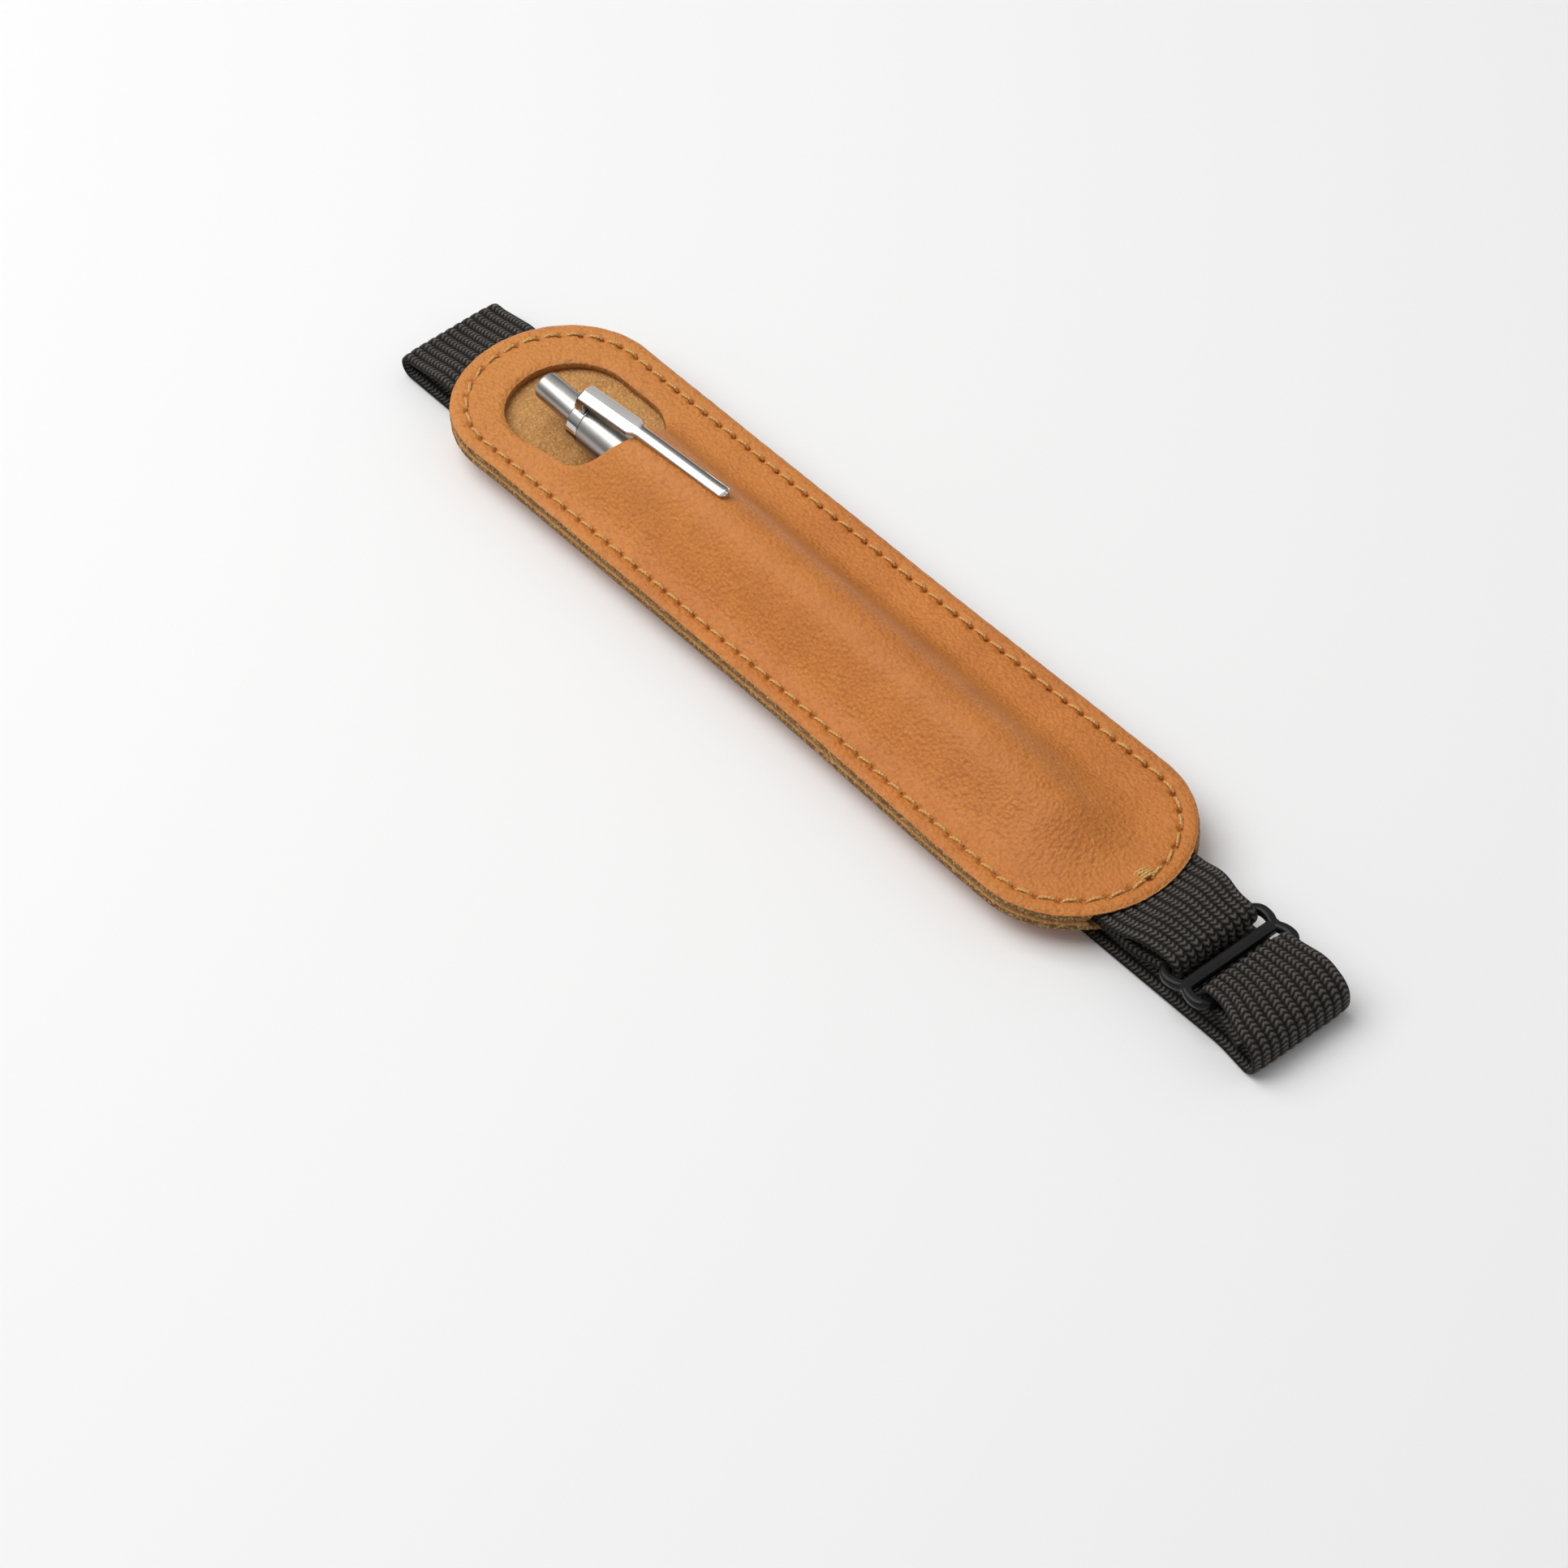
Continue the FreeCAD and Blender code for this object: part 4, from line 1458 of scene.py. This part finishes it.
@dataclass
class ElasticStrap:
    """Ribbed band: the long run round the board and the short doubled loop.

    Corners of the two side lines are X and Z. The long run lies aside by the head pull at
    the head end and by the foot pull at the foot loop.
    """

    width: float = 20.0
    slot_width: float = 17.3
    slot_taper: Point2 = (1.0, 9.0)
    thick: float = 1.16
    ribs: int = 11
    per_rib: int = 6
    rib_depth: float = 0.52
    rim_share: float = 0.45
    rim_rate: float = 6.0
    step: float = 0.45
    short_step: float = 0.27
    bar_1: float = 85.1
    bar_2: float = 94.9
    under_slider: float = 2.0
    foot_part: float = 60.0
    head_pull: float = -1.2
    head_range: Point2 = (-95.0, 95.0)
    foot_pull: float = -0.9
    foot_range: Point2 = (97.0, 107.0)
    long_corners: Route = (
        (-87.2, 5.8), (-96.4, 5.8), (-103.85, 4.3), (-106.9, 4.3), (-106.9, 0.6), (106.9, 0.6),
        (106.9, 6.6), (101.2, 8.35), (92.95, 8.2), (92.95, 4.3), (103.2, 4.3),
    )
    long_bends: Numbers = (6.0, 6.0, 1.85, 1.85, 2.3, 3.2, 9.0, 1.95, 1.95)
    short_corners: Route = (
        (65.8, 6.45), (73.4, 6.5), (79.4, 8.15), (86.8, 7.75),
        (86.8, 4.3), (79.45, 4.3), (75.0, 5.15), (65.8, 5.15),
    )
    short_bends: Numbers = (7.0, 9.0, 1.7, 1.7, 5.0, 2.5)

    def tree(self, material: Material) -> GrowthTree:
        """Geometry tree that sweeps a ribbed section along a side line.

        The line's sideways place is laid on after the sweep, and its radius is the share of
        the full width.

        Args:
            material: Finish of the band.

        Returns:
            The tree.
        """
        kinds = {"Width": "Float", "Thickness": "Float", "Ribs": "Int"}
        kinds |= {"Rib Points": "Int", "Rib Depth": "Float"}
        bench, taken, growth = start_tree("ribbed_band", kinds)
        calc = bench.math
        x, y, z = bench.spot()
        radius = bench.flow("GeometryNodeInputRadius")
        line, aside, share = bench.keep(taken["Geometry"], aside=y, share=radius)
        line = bench.move(line, Position=bench.join(x, 0.0, z))
        line = bench.flow("GeometryNodeSetCurveRadius", {"Curve": line, "Radius": 1.0})
        across = {"Curve": line, "Normal": (0.0, 1.0, 0.0)}
        line = bench.flow("GeometryNodeSetCurveNormal", across, mode="FREE")
        length = bench.add("GeometryNodeSplineParameter").outputs["Length"]
        line, way = bench.keep(line, way=length)
        last = calc("MULTIPLY", taken["Ribs"], taken["Rib Points"])
        total = calc("MULTIPLY_ADD", last, 2.0, 2.0)
        circle = bench.flow("GeometryNodeCurvePrimitiveCircle", {"Resolution": total})
        index = bench.flow("GeometryNodeInputIndex")
        back = calc("SUBTRACT", calc("SUBTRACT", total, 1.0), index)
        reach = calc("DIVIDE", calc("MINIMUM", index, back), last)
        rest = calc("SUBTRACT", 1.0, reach)
        side = calc("SIGN", calc("SUBTRACT", index, back))
        lobe = calc("FRACT", calc("MULTIPLY", reach, taken["Ribs"]))
        lobe = calc("MULTIPLY_ADD", lobe, 2.0, -1.0)
        crown = calc("SUBTRACT", 1.0, calc("MULTIPLY", lobe, lobe))
        crown = calc("SQRT", calc("MAXIMUM", crown, 0.0))
        rim = calc("MULTIPLY", calc("MINIMUM", reach, rest), self.rim_rate)
        rim = calc("SQRT", calc("MINIMUM", rim, 1.0))
        edge = calc("MULTIPLY_ADD", rim, 1.0 - self.rim_share, self.rim_share)
        furrow = calc("MULTIPLY", taken["Rib Depth"], calc("SUBTRACT", 1.0, crown))
        tall = calc("MULTIPLY", edge, calc("SUBTRACT", 1.0, furrow))
        tall = calc("MULTIPLY", calc("MULTIPLY", tall, taken["Thickness"]), 0.5)
        wide = calc("MULTIPLY", calc("SUBTRACT", reach, 0.5), taken["Width"])
        section = bench.move(circle, Position=bench.join(wide, calc("MULTIPLY", tall, side)))
        turned = calc("SUBTRACT", 1.0, calc("MULTIPLY", side, rest))
        section, girth = bench.keep(section, girth=calc("MULTIPLY", turned, taken["Width"]))
        band = bench.sweep(line, section)
        shift = calc("MULTIPLY_ADD", bench.spot()[1], calc("SUBTRACT", share, 1.0), aside)
        band = bench.move(band, Offset=bench.join(y=shift))
        end_tree(bench, band, material, bench.join(way, girth))
        return growth

    def slot_share(self, x: float, bar: float, toward: float) -> float:
        """Share of the full width: squeezed at a slider bar and full beyond the taper."""
        free = smooth(*self.slot_taper, (x - bar) * toward)
        return (self.slot_width + (self.width - self.slot_width) * free) / self.width

    def long_share(self, x: float, z: float) -> float:
        """Share of the full width along the long run.

        Args:
            x: Place along the case, in millimetres.
            z: Height, in millimetres.

        Returns:
            The share.
        """
        if x > self.foot_part and z > self.under_slider:
            return self.slot_share(x, self.bar_2, 1.0)
        return 1.0

    def long_aside(self, x: float) -> float:
        """Sideways place along the long run."""
        head = self.head_pull * (1 - smooth(*self.head_range, x))
        return head + self.foot_pull * smooth(*self.foot_range, x)

    def build(self, material: Material) -> None:
        """Build and place the long band and the short loop.

        Args:
            material: Finish of the bands.
        """
        growth = self.tree(material)
        sizes = {
            "Width": self.width * MM,
            "Thickness": self.thick * MM,
            "Ribs": self.ribs,
            "Rib Points": self.per_rib,
            "Rib Depth": self.rib_depth,
        }
        route = rounded_route(self.long_corners, self.long_bends, self.step)
        path = [(x, self.long_aside(x), z) for x, z in route]
        shares = [self.long_share(x, z) for x, z in route]
        band = growth.grow("strap_long", path, sizes, shares=shares, flat_angle=80.0)
        nodes = ["strap_head_fold", "strap_lower_run", "strap_foot_loop"]
        place(band, Body.CASE, nodes)
        route = rounded_route(self.short_corners, self.short_bends, self.short_step)
        path = [(x, 0.0, z) for x, z in route]
        shares = [self.slot_share(x, self.bar_1, -1.0) for x, _ in route]
        loop = growth.grow("strap_short", path, sizes, shares=shares, flat_angle=80.0)
        place(loop, Body.CASE, ["strap_short_loop"])


@dataclass
class StrapSlider:
    """Gloss figure-eight slider: a rounded frame with a middle bar."""

    bar_1: float = 85.1
    bar_2: float = 94.9
    half: float = 9.95
    height: float = 6.0
    bar: float = 1.66
    middle_bar: float = 2.3
    corner: float = 1.9
    corner_steps: int = 10
    pinch: float = 0.7
    pinch_width: float = 1.3
    side_steps: int = 16
    bar_steps: int = 12
    sides: int = 16
    squareness: float = 0.6

    def tube(
        self, path: Sequence[Point2], closed: bool, width: float, points: list[Point3]
    ) -> list[Face]:
        """Add a bar with a soft-cornered section along a flat line.

        Args:
            path: Middle line in plan.
            closed: Whether the line closes on itself.
            width: Width of the bar.
            points: Points to add to.

        Returns:
            The faces of the bar.
        """
        rings = []
        total = len(path)
        for index, (x, y) in enumerate(path):
            ahead = Vector(path[(index + 1) % total] if closed else path[min(index + 1, total - 1)])
            behind = Vector(path[index - 1] if closed or index else path[0])
            along = (ahead - behind).normalized()
            rings.append(range(len(points), len(points) + self.sides))
            for corner in range(self.sides):
                angle = 2 * math.pi * corner / self.sides
                c, s = math.cos(angle), math.sin(angle)
                wide = math.copysign(abs(c) ** self.squareness, c) * width / 2
                tall = math.copysign(abs(s) ** self.squareness, s) * self.bar / 2
                points.append((x - along.y * wide, y + along.x * wide, self.height + tall))
        return skin(rings, closed)

    def build(self, material: Material) -> None:
        """Build and place the slider.

        Args:
            material: Finish of the slider.
        """
        ring: list[Point2] = []
        middle = (self.bar_1 + self.bar_2) / 2
        for sx, sy, start in ((1, 1, 0), (-1, 1, 90), (-1, -1, 180), (1, -1, 270)):
            corner_x = self.bar_2 - self.corner if sx > 0 else self.bar_1 + self.corner
            corner_y = sy * (self.half - self.corner)
            for angle in even(math.radians(start), math.radians(start + 90), self.corner_steps):
                ring.append((
                    corner_x + self.corner * math.cos(angle),
                    corner_y + self.corner * math.sin(angle),
                ))
            if sx == sy:
                far_x = 2 * middle - corner_x
                for x in even(corner_x, far_x, self.side_steps)[1:-1]:
                    pinched = self.half - self.pinch * bell(x - middle, self.pinch_width)
                    ring.append((x, sy * pinched))
        points: list[Point3] = []
        faces = self.tube(ring, True, self.bar, points)
        cross = [(middle, y) for y in even(-self.half, self.half, self.bar_steps)]
        faces += self.tube(cross, False, self.middle_bar, points)
        piece = make_piece("strap_slider", points, faces, [material], flat_angle=60.0)
        place(piece, Body.SLIDER, ["slider_frame"])


@dataclass(frozen=True)
class TurnedPart:
    """Turned piece of the pen: stations and radii of its outside, then of its bore back."""

    name: str
    node: str
    body: Body
    finish: HardFinish
    profile: Sequence[Point2]


@dataclass
class PushPen:
    """Push-button pen: turned outer pieces, plain inner works."""

    line: PenLine
    segments: int = 96
    button_radius: float = 2.55
    button_round: float = 0.6
    dome_steps: int = 7
    nose_steps: int = 8
    nose_run: float = 8.0
    nose_fall: float = 0.7
    nose_power: float = 1.6

    def parts(self) -> list[TurnedPart]:
        """Outer pieces from the button to the nose.

        Returns:
            The pieces to turn.
        """
        flat = self.button_radius - self.button_round
        dome = [
            (self.button_round * (1 - math.sin(angle)), flat + self.button_round * math.cos(angle))
            for angle in even(math.pi / 2, 0.0, self.dome_steps)
        ]
        button = [(0.0, 0.0)] + dome + [(9.6, 2.64), (18.9, 2.6), (19.0, 2.5), (19.0, 0.0)]
        collar = [(10.1, 2.72), (10.1, 3.42), (10.16, 3.52), (10.84, 4.22), (10.98, 4.3)]
        collar += [(13.3, 4.3), (13.44, 4.22), (13.44, 2.72)]
        upper = [(13.5, 3.76), (13.5, 4.18), (13.62, 4.28), (63.86, 4.28), (63.97, 4.2)]
        upper += [(63.97, 3.76)]
        lower = [(56.2, 3.2), (56.2, 3.68), (63.99, 3.68), (64.0, 4.2), (64.1, 4.28)]
        lower += [(73.0, 4.28), (109.0, 3.68), (109.0, 3.2)]
        nose = [(103.2, 2.55), (103.2, 3.1), (109.0, 3.1), (109.02, 3.6), (109.12, 3.68)]
        nose += [
            (
                self.line.nose_start + self.nose_run * share,
                self.line.taper_radius - self.nose_fall * share**self.nose_power,
            )
            for share in even(0.0, 1.0, self.nose_steps)[1:]
        ]
        nose += [(127.7, 1.4), (128.0, 1.2), (128.0, 0.95), (119.0, 0.95), (117.0, 2.5)]
        return [
            TurnedPart("pen_button", "push_button", Body.CLICK, SATIN, button),
            TurnedPart("pen_collar", "clip_collar", Body.PEN, CHROME, collar),
            TurnedPart("pen_upper", "upper_barrel", Body.PEN, SATIN, upper),
            TurnedPart("pen_lower", "lower_barrel", Body.PEN, SATIN, lower),
            TurnedPart("pen_nose", "nose_cone", Body.PEN, CHROME, nose),
        ]

    def turned(self, part: TurnedPart, material: Material) -> Piece:
        """Turn a closed profile round the pen's axis.

        Args:
            part: The piece to turn.
            material: Finish of the piece.

        Returns:
            The turned piece.
        """
        points: list[Point3] = []
        rings: list[list[int]] = []
        for station, radius in part.profile:
            corners = self.segments if radius > 0.0 else 1
            rings.append([len(points) + index % corners for index in range(self.segments)])
            for index in range(corners):
                angle = 2 * math.pi * index / self.segments
                beside, above = radius * math.cos(angle), radius * math.sin(angle)
                points.append(self.line.at(station, beside, above))
        return make_piece(part.name, points, skin(rings, True), [material], flat_angle=28.0)

    def build(self, materials: dict[str, Material], groups: Groups) -> None:
        """Build and place the outer pieces and finish the inner works.

        Args:
            materials: Finishes of the outer pieces by name.
            groups: Shader groups that finishes share.
        """
        for part in self.parts():
            piece = self.turned(part, materials[part.finish.name])
            place(piece, part.body, [part.node])
        for node, finish in INNER_WORKS.items():
            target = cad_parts[node]
            target.data.materials.clear()
            target.data.materials.append(finish.make(groups))
            LOG.info("%s: %s", node, finish.name)


@dataclass
class ReturnSpring:
    """Coil spring with closed ends that the button presses together."""

    line: PenLine
    start: float = 99.6
    end: float = 116.6
    seat: float = 117.0
    radius: float = 2.15
    wire: float = 0.4
    wire_room: float = 1.05
    turns: float = 7.0
    closed_turns: float = 1.0
    travel: float = 3.5
    sides: int = 8
    per_turn: int = 28

    def tree(self, material: Material) -> GrowthTree:
        """Geometry tree that winds the wire, with the end turns closed.

        Args:
            material: Finish of the wire.

        Returns:
            The tree.
        """
        names = ("Radius", "Wire", "Length", "Turns", "Closed Turns")
        bench, taken, growth = start_tree("coil", dict.fromkeys(names, "Float"))
        calc = bench.math
        length, turns, shut = taken["Length"], taken["Turns"], taken["Closed Turns"]
        total = calc("MULTIPLY_ADD", shut, 2.0, turns)
        winding = {"Resolution": self.per_turn, "Rotations": total, "Height": length}
        winding |= {"Start Radius": taken["Radius"], "End Radius": taken["Radius"]}
        coil = bench.flow("GeometryNodeCurveSpiral", winding)
        share = bench.add("GeometryNodeSplineParameter").outputs["Factor"]
        turn = calc("MULTIPLY", share, total)
        last = calc("MAXIMUM", calc("SUBTRACT", calc("SUBTRACT", turn, shut), turns), 0.0)
        ends = calc("ADD", calc("MINIMUM", turn, shut), last)
        pitch = calc("MULTIPLY", taken["Wire"], self.wire_room)
        both_ends = calc("MULTIPLY", calc("MULTIPLY", pitch, shut), 2.0)
        between = calc("DIVIDE", calc("SUBTRACT", turn, ends), turns)
        opened = calc("MULTIPLY", calc("SUBTRACT", length, both_ends), between)
        rise = calc("MULTIPLY_ADD", pitch, ends, opened)
        x, y, _ = bench.spot()
        coil = bench.move(coil, Position=bench.join(x, y, rise))
        section = {"Resolution": self.sides, "Radius": calc("MULTIPLY", taken["Wire"], 0.5)}
        circle = bench.flow("GeometryNodeCurvePrimitiveCircle", section)
        end_tree(bench, bench.sweep(coil, circle), material)
        return growth

    def build(self, material: Material) -> None:
        """Build and place the spring.

        Args:
            material: Finish of the wire.
        """
        sizes = {
            "Radius": self.radius * MM,
            "Wire": self.wire * MM,
            "Length": (self.end - self.start) * MM,
            "Turns": self.turns,
            "Closed Turns": self.closed_turns,
        }
        axis = (self.line.cos, 0.0, -self.line.sin)
        start, end = (self.line.at(station, 0.0, 0.0) for station in (self.start, self.end))
        piece = self.tree(material).grow("spring_coil", [start, end], sizes, flat_angle=40.0)
        turn = Vector(axis).to_track_quat("Z", "Y").to_matrix().to_4x4()
        piece.data.transform(Matrix.Translation(Vector(start) * MM) @ turn)
        place(piece, Body.PEN, ["return_spring"])
        anchor = tuple(part * MM for part in self.line.at(self.seat, 0.0, 0.0))
        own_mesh(piece)


@dataclass
class PenClip:
    """Spring clip with a roofed root and a slim arm that ends round."""

    line: PenLine
    leg: float = 11.5
    leg_steps: Numbers = (0.0, 0.2, 0.45, 0.7, 1.0, 1.3, 1.6, 1.8, 2.0, 2.2, 2.4, 3.0)
    start: float = 12.3
    root_start: float = 15.0
    root_end: float = 24.2
    shoulder: float = 1.8
    arm_start: float = 26.5
    end: float = 46.8
    root_half: float = 1.85
    arm_half: float = 1.12
    tip_half: float = 0.02
    under: float = 7.25
    thick: float = 1.3
    seat: float = 4.36
    leg_width: float = 1.7
    leg_ease: float = 0.7
    rake: float = 2.2
    rake_ease: float = 0.4
    arm_fall: float = 0.55
    tip_fall: float = 0.42
    roof: float = 0.46
    ridge_half: float = 0.12
    ridge_flat: float = 0.02
    corner: float = 0.18
    corner_share: float = 0.3
    foot_edge: float = 0.15
    eave_below: float = 0.12
    eave_above: float = 0.06
    roll: float = 6.0
    skew: float = 4.5

    def half_at(self, station: float) -> float:
        """Half width along the clip.

        Args:
            station: Place along the pen, in millimetres from its button end.

        Returns:
            The half width.
        """
        narrow = smooth(self.root_end, self.root_end + self.shoulder, station)
        half = self.root_half + (self.arm_half - self.root_half) * narrow
        tip = self.end - station
        if tip < self.arm_half:
            left = self.arm_half**2 - (self.arm_half - tip) ** 2
            half = math.sqrt(max(left, 0.0)) + self.tip_half
        return half

    def heights(self, station: float) -> Point2:
        """Under side and top side along the clip.

        Args:
            station: Place along the pen, in millimetres from its button end.

        Returns:
            The two heights over the axis.
        """
        raked = 1 - smooth(self.leg, self.start + self.rake_ease, station)
        high = self.under + self.thick - self.rake * raked
        high -= self.arm_fall * self.thick * smooth(self.root_end, self.end, station)
        back = min(max(self.arm_half - self.end + station, 0.0) / self.arm_half, 1.0)
        high -= self.tip_fall * (1 - math.sqrt(1 - back**2))
        leg_end = self.leg + self.leg_width
        free = smooth(leg_end, leg_end + self.leg_ease, station)
        return self.seat + (self.under - self.seat) * free, high

    def stations(self) -> list[float]:
        """Places of the sections along the clip.

        Returns:
            The stations, from the leg to the tip.
        """
        shoulder_end = self.root_end + self.shoulder
        slim_end = self.end - self.arm_half
        places = [self.leg + step for step in self.leg_steps]
        places += even(self.root_start, self.root_end, 10)
        places += even(self.root_end, shoulder_end, 8)[1:]
        places += even(self.arm_start, slim_end, 16)
        turns = even(0.0, math.pi / 2, 8)[1:]
        return places + [slim_end + self.arm_half * math.sin(angle) for angle in turns]

    def section(self, station: float) -> list[Point2]:
        """Corners of one section, from the near foot round over the ridge.

        Args:
            station: Place along the pen, in millimetres from its button end.

        Returns:
            The corners, as places beside and above the axis.
        """
        half = self.half_at(station)
        low, high = self.heights(station)
        eave = high - self.roof
        inner = half - min(self.corner, self.corner_share * half)
        right = [
            (inner, low),
            (half, low + self.foot_edge),
            (half, eave - self.eave_below),
            (inner, eave + self.eave_above),
            (self.ridge_half, high - self.ridge_flat),
        ]
        left = [(-across, up) for across, up in reversed(right)]
        return left[-1:] + right + left[:-1]

    def build(self, material: Material) -> None:
        """Build and place the clip.

        Args:
            material: Finish of the clip.
        """
        points: list[Point3] = []
        rings = []
        turn = Matrix.Rotation(math.radians(self.skew), 3, "Z")
        tip = Matrix.Rotation(math.radians(self.roll), 3, "X")
        pivot = Vector((self.start, 0.0, 0.0))
        for station in self.stations():
            section = self.section(station)
            rings.append(range(len(points), len(points) + len(section)))
            for across, up in section:
                spot = tip @ (turn @ (Vector((station, across, up)) - pivot) + pivot)
                points.append(self.line.at(spot.x, spot.y, spot.z))
        piece = make_piece("spring_clip", points, skin(rings, False), [material], flat_angle=24.0)
        place(piece, Body.CLIP, ["pen_clip"])


@dataclass
class Studio:
    """Camera, soft light and pale floor.

    The camera is in millimetres. Lamps have a name, a place in metres and a power.
    """

    eye: Point3 = (519.33, -383.24, 669.43)
    right: Point3 = (0.63320918, 0.77110916, -0.06660933)
    up: Point3 = (-0.53868438, 0.5008693, 0.6774578)
    forward: Point3 = (-0.55575649, 0.39309109, -0.7325395)
    lens: float = 131.95
    sensor: float = 36.0
    lamps: tuple[tuple[str, Point3, float], ...] = (
        ("key", (-0.46, -0.32, 1.0), 11.6),
        ("fill", (0.55, 0.55, 0.80), 0.9),
    )
    lamp_size: float = 1.1
    ambient: float = 0.36
    low_gloss: float = 0.12
    gloss_rise: Point2 = (0.05, 0.75)
    floor_half: float = 3.0
    floor_level: float = -0.05
    floor_tones: tuple[Colour, Colour] = ((0.90, 0.90, 0.90), (0.92, 0.92, 0.92))
    pale_range: Point2 = (0.20, 0.70)

    def build(self) -> None:
        """Set up the view, the light and the floor."""
        scene = bpy.context.scene
        scene.view_settings.view_transform = "Standard"
        camera = bpy.data.cameras.new("view")
        camera.lens = self.lens
        camera.sensor_width = self.sensor
        holder = show("view", camera)
        back = Vector(self.forward) * -1
        turn = Matrix((self.right, self.up, back)).transposed().to_4x4()
        holder.matrix_world = Matrix.Translation(Vector(self.eye) * MM) @ turn
        scene.camera = holder
        for name, spot, power in self.lamps:
            self.lamp(name, spot, power)
        self.surroundings()
        self.floor()

    def lamp(self, name: str, spot: Point3, power: float) -> None:
        """Add one soft lamp that looks at the case.

        Args:
            name: Name of the lamp.
            spot: Place in metres.
            power: Power in watts.
        """
        light = bpy.data.lights.new(name, "AREA")
        light.size = self.lamp_size
        light.energy = power
        holder = show(name, light)
        holder.location = spot
        holder.rotation_euler = Vector(spot).to_track_quat("Z", "Y").to_euler()

    def surroundings(self) -> None:
        """White to the eye, graded in gloss, a softer grey as light."""
        world = bpy.data.worlds.new("surroundings")
        world.use_nodes = True
        bpy.context.scene.world = world
        bench = NodeBench(world.node_tree)
        path = bench.add("ShaderNodeLightPath").outputs
        seen = bench.math("MAXIMUM", path["Is Camera Ray"], path["Is Transmission Ray"])
        rise = bench.split(bench.add("ShaderNodeTexCoord").outputs["Generated"])[2]
        graded = bench.span(rise, self.low_gloss, 1.0, *self.gloss_rise)
        glossy = {0: path["Is Glossy Ray"], 2: self.ambient, 3: graded}
        strength = {0: seen, 2: bench.flow("ShaderNodeMix", glossy), 3: 1.0}
        shown = {0: (1.0, 1.0, 1.0, 1.0), 1: bench.flow("ShaderNodeMix", strength)}
        bench.feed(world.node_tree.nodes["Background"], shown)

    def floor(self) -> None:
        """Pale floor that keeps the shadow, white far away and clear from below."""
        constants = {"Roughness": 0.7, "Specular IOR Level": 0.1}
        material, bench, shader = start_material("pale_floor", constants)
        calc = bench.math
        cloud = bench.flow("ShaderNodeTexNoise", {"Scale": 3.0, "Detail": 2.0})
        bench.feed(shader, {"Base Color": bench.blend(cloud, *self.floor_tones)})
        away = bench.add("ShaderNodeVectorMath", {0: bench.local()}, operation="LENGTH")
        path = bench.add("ShaderNodeLightPath").outputs
        seen = calc("MAXIMUM", path["Is Camera Ray"], path["Is Glossy Ray"])
        seen = calc("MAXIMUM", seen, path["Is Transmission Ray"])
        share = bench.span(away.outputs["Value"], 0.0, 1.0, *self.pale_range)
        glow = {"Color": (1.0, 1.0, 1.0, 1.0), "Strength": 1.0}
        white = bench.flow("ShaderNodeEmission", glow)
        paled = {0: calc("MULTIPLY", share, seen), 1: shader.outputs[0], 2: white}
        paled = bench.flow("ShaderNodeMixShader", paled)
        below = bench.add("ShaderNodeNewGeometry").outputs["Backfacing"]
        clear = bench.flow("ShaderNodeBsdfTransparent")
        shown = bench.flow("ShaderNodeMixShader", {0: below, 1: paled, 2: clear})
        bench.feed(bench.tree.nodes["Material Output"], {0: shown})
        reach = self.floor_half / MM
        corners = ((-reach, -reach), (reach, -reach), (reach, reach), (-reach, reach))
        points = [(x, y, self.floor_level) for x, y in corners]
        floor = make_piece("floor", points, [(0, 1, 2, 3)], [material])


def main() -> None:
    """Build every sub-assembly in order."""
    logging.basicConfig(level=logging.INFO, format="%(message)s")
    groups = Groups(grain_group(), turning_group())
    line = PenLine()
    case = LeatherCase(line)
    Studio().build()
    case.build(groups)
    SeamStitches(case).build(THREAD.make(groups))
    ElasticStrap().build(ELASTIC.make(groups))
    StrapSlider().build(GLOSS.make(groups))
    metals = {finish.name: finish.make(groups) for finish in (CHROME, SATIN)}
    PushPen(line).build(metals, groups)
    ReturnSpring(line).build(WIRE.make(groups))
    PenClip(line).build(metals[CHROME.name])


if __name__ == "__main__":
    main()
